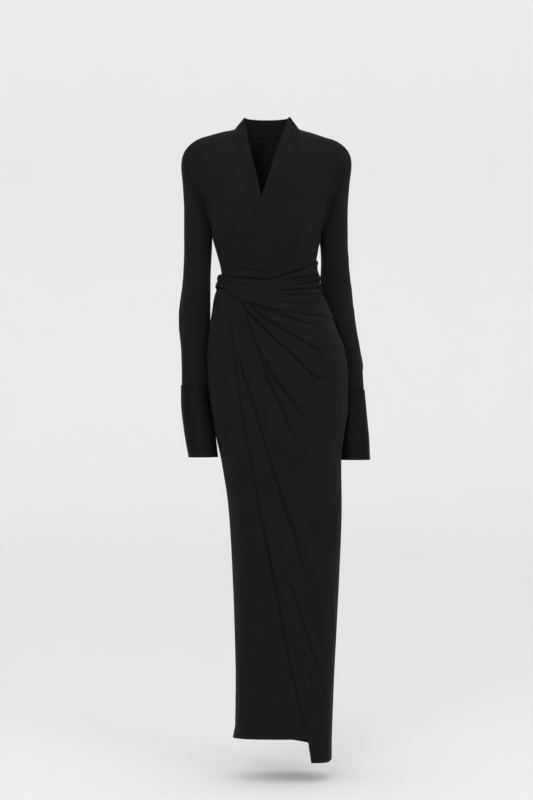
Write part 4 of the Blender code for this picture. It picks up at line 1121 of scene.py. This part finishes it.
def skirt_panel(start, end, hem, column, rows, view="front"):
    """The grid of one skirt panel, from one side to the other, down to its hem."""
    levels = spaced_rows(LOW_CORNER, WAIST, rows) - UNDERARM
    start = angle_of_edge(start, levels) if isinstance(start, tuple) else start
    angles = spaced_columns(start, end, levels, column)
    lean = fade(-levels, UNDERARM - HEM_START, UNDERARM - LOW_CORNER)[:, None]
    depth = levels[:, None] + (hem(angles)[..., 0] - LOW_CORNER) * lean
    return Panel(form(angles, depth), form_normal(angles, depth), angles, depth, view=view)


def add_skirt(jersey):
    for node, panel, rolls, creases, free, seams, seed in (
            ("front_left_skirt",
             skirt_panel(OVER_SKIRT_EDGE, 90, OVER_HEM_AT, OVER_SKIRT_COLUMN, OVER_SKIRT_ROWS),
             OVER_SKIRT_ROLLS, OVER_SKIRT_CREASES, "start", ("end",), 4),
            ("front_right_skirt",
             skirt_panel(-90, UNDER_SKIRT_EDGE, UNDER_HEM_AT, SKIRT_COLUMN, SKIRT_ROWS),
             UNDER_SKIRT_ROLLS, UNDER_SKIRT_CREASES, "end", ("start",), 5),
            ("back_skirt", skirt_panel(90, 270, BACK_HEM_AT, SKIRT_COLUMN, SKIRT_ROWS, view="back"),
             BACK_SKIRT_ROLLS, BACK_SKIRT_CREASES, None, ("start", "end"), 6)):
        panel = drawn_to_creases(panel, creases)
        z = panel.points[..., 2]
        height = folded(panel, rolls, creases) + SKIRT_WOBBLE * wobble(panel, seed)
        below = drape_edges(panel.angle)[1] - z
        calm = arm_calm(panel.angle, z) * fade(below, -3, 2) * seam_calm(panel, *seams)
        swell = DRAPE_SWELL * fade(below, 0.2, 3.0) * fade(-below, -52, -8)
        # It swells less round the wearer's left hip
        swell = swell * (1 - 0.7 * fade(from_front(panel.angle), 52, 76))
        height = layered(panel, height * calm + swell, free, OVER_SKIRT_EDGE, SKIRT_LIMITS)
        height = height + turned_edge(panel, "bottom", SKIRT_HEM, SKIRT_HEM_RIDGE)
        if free == "start":
            height = height + turned_edge(panel, free)
        height = height + seam_dip(panel, *seams) * fade(-z, 300, 420)
        add_cloth(node, panel, height, JERSEY, jersey)


def add_neck_band(jersey):
    """The back of the stand: from the back neck seam up to a level edge behind the neck."""
    share = np.linspace(-1, 1, BAND_COLUMNS + 1)
    foot = BACK_TOP_AT(np.abs(share) * NECK_ANGLE)
    seam = np.stack([-foot[:, 0] * np.sign(share), foot[:, 1], foot[:, 2] + BAND_ROOM], -1)
    turn = share * np.pi / 2
    top = np.stack([-BAND_X * np.sin(turn), BAND_FRONT + BAND_DEPTH * np.cos(turn),
                    np.full(share.shape, BAND_TOP)], -1)
    rows = np.linspace(0, 1, BAND_ROWS + 1)[:, None, None]
    points = seam + (top - seam) * rows
    normals = grid_normals(points)
    normals[0] = form_normal(180 + share * NECK_ANGLE, 90)
    normals[:, [0, -1], 1] = 0
    panel = Panel(points, unit(normals))
    crown = 0.9 * np.sin(np.pi * rows[..., 0]) * np.ones(share.shape)
    tuck = BAND_TUCK * bell(border_distance(points, "bottom"), 3.0)
    height = crown + BAND_WOBBLE * wobble(panel, 7) - tuck + turned_edge(panel, "top", 7.0, 0.2)
    add_cloth("back_neck_band", panel, height, JERSEY, jersey)


def drape_panel(start, end, view):
    """The grid of one part of the waist drape, which fans out from the knot."""
    angles = np.linspace(start, end, int((end - start) / DRAPE_STEP_ROUND))
    top, bottom = np.moveaxis(DRAPE_AT(angles), -1, 0)
    rows = int(np.max(top - bottom) / DRAPE_STEP_UP)
    near = np.array(DRAPE_NEAR_EDGE)
    up = np.concatenate([near, np.linspace(near[-1], 1 - near[-1], rows)[1:-1], 1 - near[::-1]])[:, None]
    levels = bottom + (top - bottom) * up - UNDERARM
    angles = np.broadcast_to(angles, levels.shape)
    return Panel(form(angles, levels), form_normal(angles, levels), angles, levels, view=view)


def add_drape(jersey):
    for node, start, end, view, rolls, creases, seam, seed in (
            ("waist_drape_front", DRAPE_START, DRAPE_SIDE, "front",
             DRAPE_FRONT_ROLLS, DRAPE_FRONT_CREASES, "end", 8),
            ("waist_drape_back", DRAPE_SIDE, DRAPE_END, "back",
             DRAPE_BACK_ROLLS, DRAPE_BACK_CREASES, "start", 9)):
        panel = drawn_to_creases(drape_panel(start, end, view), creases)
        base = DRAPE_LIFT + lap(panel.angle, panel.level)
        height = folded(panel, rolls, creases) + DRAPE_WOBBLE * wobble(panel, seed, 0.6)
        for border in ("top", "bottom"):
            away = border_distance(panel.points, border)
            height = height + EDGE_ROLL * bell(away - 6, 5) - EDGE_DROP * bell(away, 2.0)
        height = height + SIDE_GATHER * bell(panel.angle - 88, 20) * bell(panel.points[..., 2] + 338, 17)
        floor = base - DRAPE_LIFT + JERSEY + 0.4 - PRESSED_BY_DRAPE * under_drape(panel)
        height = landed(base + height, floor, base + DRAPE_HIGHEST)
        add_cloth(node, panel, height + 0.6 * seam_dip(panel, seam), DRAPE_CLOTH, jersey)


def add_knot(jersey):
    """A short loop of gathered cloth: its gathers run up and over the drape's ends and tuck in."""
    around = np.linspace(0, 2 * np.pi, KNOT_SEGMENTS, endpoint=False)
    radius = abs(body(np.array(float(KNOT_ANGLE)), np.array(float(KNOT_Z)))[0])
    front_side, out_side = np.sin(around).clip(0), np.sin(around).clip(None, 0)
    points = []
    for turn in np.linspace(0.03, np.pi - 0.03, KNOT_RINGS)[::-1]:
        width = (1 - abs(np.cos(turn)) ** KNOT_OUTLINE) ** 0.5
        up = KNOT_HEIGHT / 2 * np.cos(turn)
        across = KNOT_WIDTH / 2 * width * np.cos(around) * (1 - KNOT_PINCH * bell(up, 9))
        gathers = sum(depth * bell(across - width * (at + GATHER_LEAN * up), GATHER_WIDTH)
                      for at, depth in KNOT_GATHERS)
        out = KNOT_THICKNESS * width ** 0.7 * (front_side ** 0.75 + 0.12 * out_side)
        out = out - gathers * width * front_side - KNOT_DENT * bell(up - 2, 7) * front_side
        angle = KNOT_ANGLE + np.degrees(across / radius)
        level = np.full(KNOT_SEGMENTS, KNOT_Z + up - UNDERARM)
        points.append(form(angle, level) + form_normal(angle, level) * (KNOT_LIFT + out)[..., None])
    points = np.array(points)
    index = np.arange(KNOT_RINGS * KNOT_SEGMENTS).reshape(KNOT_RINGS, KNOT_SEGMENTS)
    place = place_on_cut(closed(points))
    mesh = bpy.data.meshes.new("side_knot")
    faces = facing_in(corners(closed(index))).tolist() + [index[0].tolist(), index[-1][::-1].tolist()]
    mesh.from_pydata(points.reshape(-1, 3) * METRES, [], faces)
    places = [facing_in(corners(place)).reshape(-1, 2), place[0, :-1], place[-1, -2::-1]]
    mesh.uv_layers.new(name="cut").data.foreach_set("uv", np.concatenate(places).ravel())
    add_piece("side_knot_cloth", mesh, jersey, "side_knot")


def arm(section_at, side, turn, z, step_out=0.0):
    """A point of a sleeve's tube.  Turn 0 is its outer side, and it goes round by the front."""
    outer, inner, middle, half_depth = np.moveaxis(section_at(z), -1, 0)
    x = (outer + inner) / 2 + ((outer - inner) / 2 + step_out) * np.cos(turn)
    y = middle - (half_depth + step_out) * np.sin(turn)
    return np.stack([side * x, y, z], -1)


def armhole_seam(side, turn):
    """The angle and the rise at which the sleeve leaves the form, at each turn round the arm."""
    rise = 90 * np.abs(1 - turn / np.pi)
    opening = ARMHOLE_AT(rise)[..., 0]
    return side * np.where(turn <= np.pi, opening, 180 - opening), rise


def into_armhole(angle, rise, toward):
    """The way that leads from an armhole's edge into the opening, along the form."""
    round_body = unit(form(angle + toward, rise) - form(angle, rise))
    below_top = np.minimum(rise, 85)
    up = unit(form(angle, below_top + 1) - form(angle, below_top))
    level = fade(-rise, -16, -2)[..., None]
    return unit(round_body * (1 - level) + up * level)


def sleeve_head(section_at, side, turn, share, up=0.0, out=UNDERARM_TURN):
    """The sleeve head: it leaves the armhole along the shoulder and turns down into the tube.  Under
    the arm the cloth hooks over from its seam, by these distances up and out."""
    angle, rise = armhole_seam(side, turn)
    normal = form_normal(angle, rise)
    low = fade(-rise, -38, -6)[..., None]
    start = form(angle, rise) + normal * low * UNDERARM_TURN
    end_z = HEAD_MIDDLE + HEAD_SLANT * np.cos(turn)
    end = arm(section_at, side, turn, end_z)
    chord = np.linalg.norm(end - start, axis=-1, keepdims=True)
    into_seam = into_armhole(angle, rise, np.where(turn <= np.pi, 1.0, -1.0) * side)
    leaving = into_seam * chord * (1 - low) * HEAD_REACH + (end - start) * low
    arriving = (arm(section_at, side, turn, end_z - 1) - end) * chord
    hooked = into_seam * up + normal * (out - UNDERARM_TURN)
    return low * hooked + bridge(share, start, leaving, end, arriving)


def sleeve_panel(section_at, side, bottom):
    """The grid of a sleeve, from its cuff up to the armhole."""
    turn = around_arm(SLEEVE_COLUMNS, side)
    top = HEAD_MIDDLE + HEAD_SLANT * np.cos(turn)
    up = np.concatenate([SLEEVE_NEAR_CUFF, np.linspace(SLEEVE_NEAR_CUFF[-1], 1, SLEEVE_ROWS)[1:-1]])
    rows = [arm(section_at, side, turn, bottom + (top - bottom) * share) for share in up]
    rows += [sleeve_head(section_at, side, turn, share) for share in np.linspace(1, 0.07, HEAD_ROWS)]
    rows += [sleeve_head(section_at, side, turn, *hook) for hook in UNDERARM_HOOK]
    points = np.array(rows)
    normals = grid_normals(points, tube=True)
    angle, rise = armhole_seam(side, turn)
    low = fade(-rise, -40, -10)[:, None]
    normals[-1] = form_normal(angle, rise)
    for row in (-2, -3, -4):
        normals[row] = unit(normals[row] + normals[-1] * (1 - low))
    return Panel(points, normals, turn, None, True)


def around_arm(columns, side):
    """Turns round an arm, in the order that makes both arms' cloth face outwards."""
    return np.linspace(0, 2 * np.pi, columns, endpoint=False)[::-side]


def inner_side(turn, start, end):
    """1 on the side of an arm that faces the body, and 0 on the other, by degrees from its outer side."""
    return fade(np.abs(from_front(np.degrees(turn))), start, end)


def add_sleeve(sleeve, section_at, jersey):
    panel = drawn_to_creases(sleeve_panel(section_at, sleeve.side, sleeve.cuff_top), sleeve.creases)
    inner = inner_side(panel.angle, 100, 150)
    height = folded(panel, sleeve.rolls, sleeve.creases) + SLEEVE_WOBBLE * wobble(panel, sleeve.seed, 1.8)
    height = height * (1 - 0.85 * inner) * fade(border_distance(panel.points, "top"), 0, 14)
    height = height * fade(border_distance(panel.points, "bottom"), 0, 10)
    z = panel.points[..., 2]
    full = sleeve.under_arm * bell(z - UNDERARM + 5, 16 + 4 * sleeve.under_arm)
    full = full + sleeve.above_cuff * bell(z - sleeve.cuff_top - 16, 26)
    height = landed(height, SLEEVE_LOWEST, SLEEVE_HIGHEST) + full * inner + seam_dip(panel, "top", "bottom")
    add_cloth("sleeve_" + sleeve.word, panel, height, JERSEY, jersey)


def add_cuff(sleeve, section_at, crepe, thread):
    turn = around_arm(CUFF_COLUMNS, sleeve.side)
    rings = np.array([arm(section_at, sleeve.side, turn, np.full(turn.shape, z), CUFF_STEP)
                      for z in spaced_rows(sleeve.cuff_bottom, sleeve.cuff_top, CUFF_ROWS)])
    panel = Panel(rings, grid_normals(rings, tube=True), turn, None, True)
    away = border_distance(panel.points, "bottom")
    height = folded(panel, (), sleeve.cuff_creases) + CUFF_WOBBLE * wobble(panel, sleeve.seed + 1, 1.6)
    height = height * (1 - 0.8 * inner_side(turn, 110, 150))
    # The cloth stands a little thicker below the row of stitches, which pulls it in
    height = height + 0.25 * fade(-away, -STITCH_ROW, 0.6 - STITCH_ROW) - 0.45 * bell(away - STITCH_ROW, 1.0)
    height = height + 0.8 * seam_dip(panel, "top")
    add_cloth("cuff_" + sleeve.word, panel, height, CUFF_CLOTH, crepe)
    add_stitches("cuff_stitches_" + sleeve.word, panel, height + CUFF_CLOTH, thread)


def add_stitches(name, panel, height, thread):
    """A row of stitches round a cuff, each a short rounded thread that dips into the cloth."""
    row = int(np.argmin(np.abs(border_distance(panel.points, "bottom")[:, 0] - STITCH_ROW)))
    ring = closed(panel.points + panel.normals * height[..., None])[row]
    run = run_along(ring)
    count = int(run[-1] / STITCH_PITCH)
    share = np.linspace(-1, 1, STITCH_RINGS)
    along = run[-1] * (np.arange(count)[:, None] + 0.5) / count + STITCH_LENGTH / 2 * share
    centre, normal = (np.stack([np.interp(along, run, line[:, axis]) for axis in range(3)], -1)
                      for line in (ring, closed(panel.normals)[row]))
    normal = unit(normal)
    sideways = np.cross(unit(np.gradient(centre, axis=1)), normal)
    thick = (THREAD / 2 * np.sqrt(1.02 - share ** 2) + 0.04)[:, None]
    sunk = (THREAD * (0.25 - 0.75 * share ** 2))[:, None]
    turn = np.linspace(0, 2 * np.pi, STITCH_SIDES, endpoint=False)
    points = (centre[:, :, None] + normal[:, :, None] * (sunk + thick * np.sin(turn))[..., None]
              + sideways[:, :, None] * (thick * np.cos(turn))[..., None])
    faces = []
    for index in np.arange(points[..., 0].size).reshape(count, STITCH_RINGS, STITCH_SIDES):
        faces += corners(closed(index)).tolist() + [index[0][::-1].tolist(), index[-1].tolist()]
    mesh = bpy.data.meshes.new(name)
    mesh.from_pydata(points.reshape(-1, 3) * METRES, [], faces)
    add_piece(name, mesh, thread)


# What shows of each piece's cut, without seam allowances and turnings: its width and length in
# metres, its area in square metres where it isn't a rectangle, how it is held, and what it is sewn to
Cut = namedtuple("Cut", "piece width length area held sewn_to")


def add_cove(paper):
    """A round floor of background paper that curves up into a wall, out past every camera."""
    bend = np.linspace(0, np.pi / 2, 24)[1:]
    profile = [(r, 0.0) for r in np.linspace(0.05, COVE_RADIUS, 30)]
    profile += [(COVE_RADIUS + COVE_BEND * np.sin(a), COVE_BEND * (1 - np.cos(a))) for a in bend]
    profile += [(COVE_RADIUS + COVE_BEND, COVE_BEND + rise) for rise in (1.5, 3.0, 4.5)]
    radius, rise = np.array(profile).T[..., None]
    turn = np.linspace(0, 2 * np.pi, COVE_SEGMENTS, endpoint=False)
    rings = np.stack([radius * np.cos(turn), radius * np.sin(turn), FLOOR * METRES + rise + 0 * turn], -1)
    middle = (0, 0, FLOOR * METRES)
    index = closed(1 + np.arange(rings[..., 0].size).reshape(len(profile), COVE_SEGMENTS))
    faces = [(0, first, second) for first, second in zip(index[0, :-1].tolist(), index[0, 1:].tolist())]
    faces += facing_in(corners(index)).tolist()
    mesh = bpy.data.meshes.new("paper_cove")
    mesh.from_pydata([middle, *rings.reshape(-1, 3).tolist()], [], faces)
    mesh.materials.append(paper)
    mesh.shade_smooth()
    cove = bpy.data.objects.new("paper_cove", mesh)
    bpy.context.scene.collection.objects.link(cove)


def add_lights():
    for box in SOFT_BOXES:
        light = bpy.data.lights.new(box.name, "AREA")
        light.shape = "RECTANGLE"
        light.size, light.size_y = box.width, box.height
        light.energy = box.power
        light.spread = SOFT_BOX_SPREAD
        lamp = bpy.data.objects.new(box.name, light)
        lamp.location = box.place
        way = Vector(box.aim) - Vector(box.place)
        lamp.rotation_euler = way.to_track_quat("-Z", "Y").to_euler()
        bpy.context.scene.collection.objects.link(lamp)
    world = bpy.data.worlds.new("studio_air")
    world.use_nodes = True
    sky = world.node_tree.nodes["Background"]
    sky.inputs["Color"].default_value = linear(AIR)
    sky.inputs["Strength"].default_value = AIR_STRENGTH
    bpy.context.scene.world = world
    bpy.context.scene.view_settings.view_transform = "Standard"


def add_camera():
    camera = bpy.data.cameras.new("camera")
    camera.sensor_fit = "AUTO"
    camera.sensor_width = SENSOR
    camera.lens = SENSOR * EYE_DISTANCE / PICTURE_HEIGHT
    camera.clip_end = 100
    eye = bpy.data.objects.new("camera", camera)
    eye.location = (PICTURE_MIDDLE * METRES, -EYE_DISTANCE * METRES, EYE_HEIGHT * METRES)
    eye.rotation_euler = (math.pi / 2, 0, 0)
    bpy.context.scene.collection.objects.link(eye)
    bpy.context.scene.camera = eye


jersey = viscose_jersey()
crepe = satin_back_crepe()
thread = polyester_thread()
add_bodice(jersey)
add_neck_band(jersey)
for sleeve in SLEEVES:
    section_at = curve_through(sleeve.sections)
    add_sleeve(sleeve, section_at, jersey)
    add_cuff(sleeve, section_at, crepe, thread)
add_skirt(jersey)
add_drape(jersey)
add_knot(jersey)
add_cove(studio_paper())
add_lights()
add_camera()
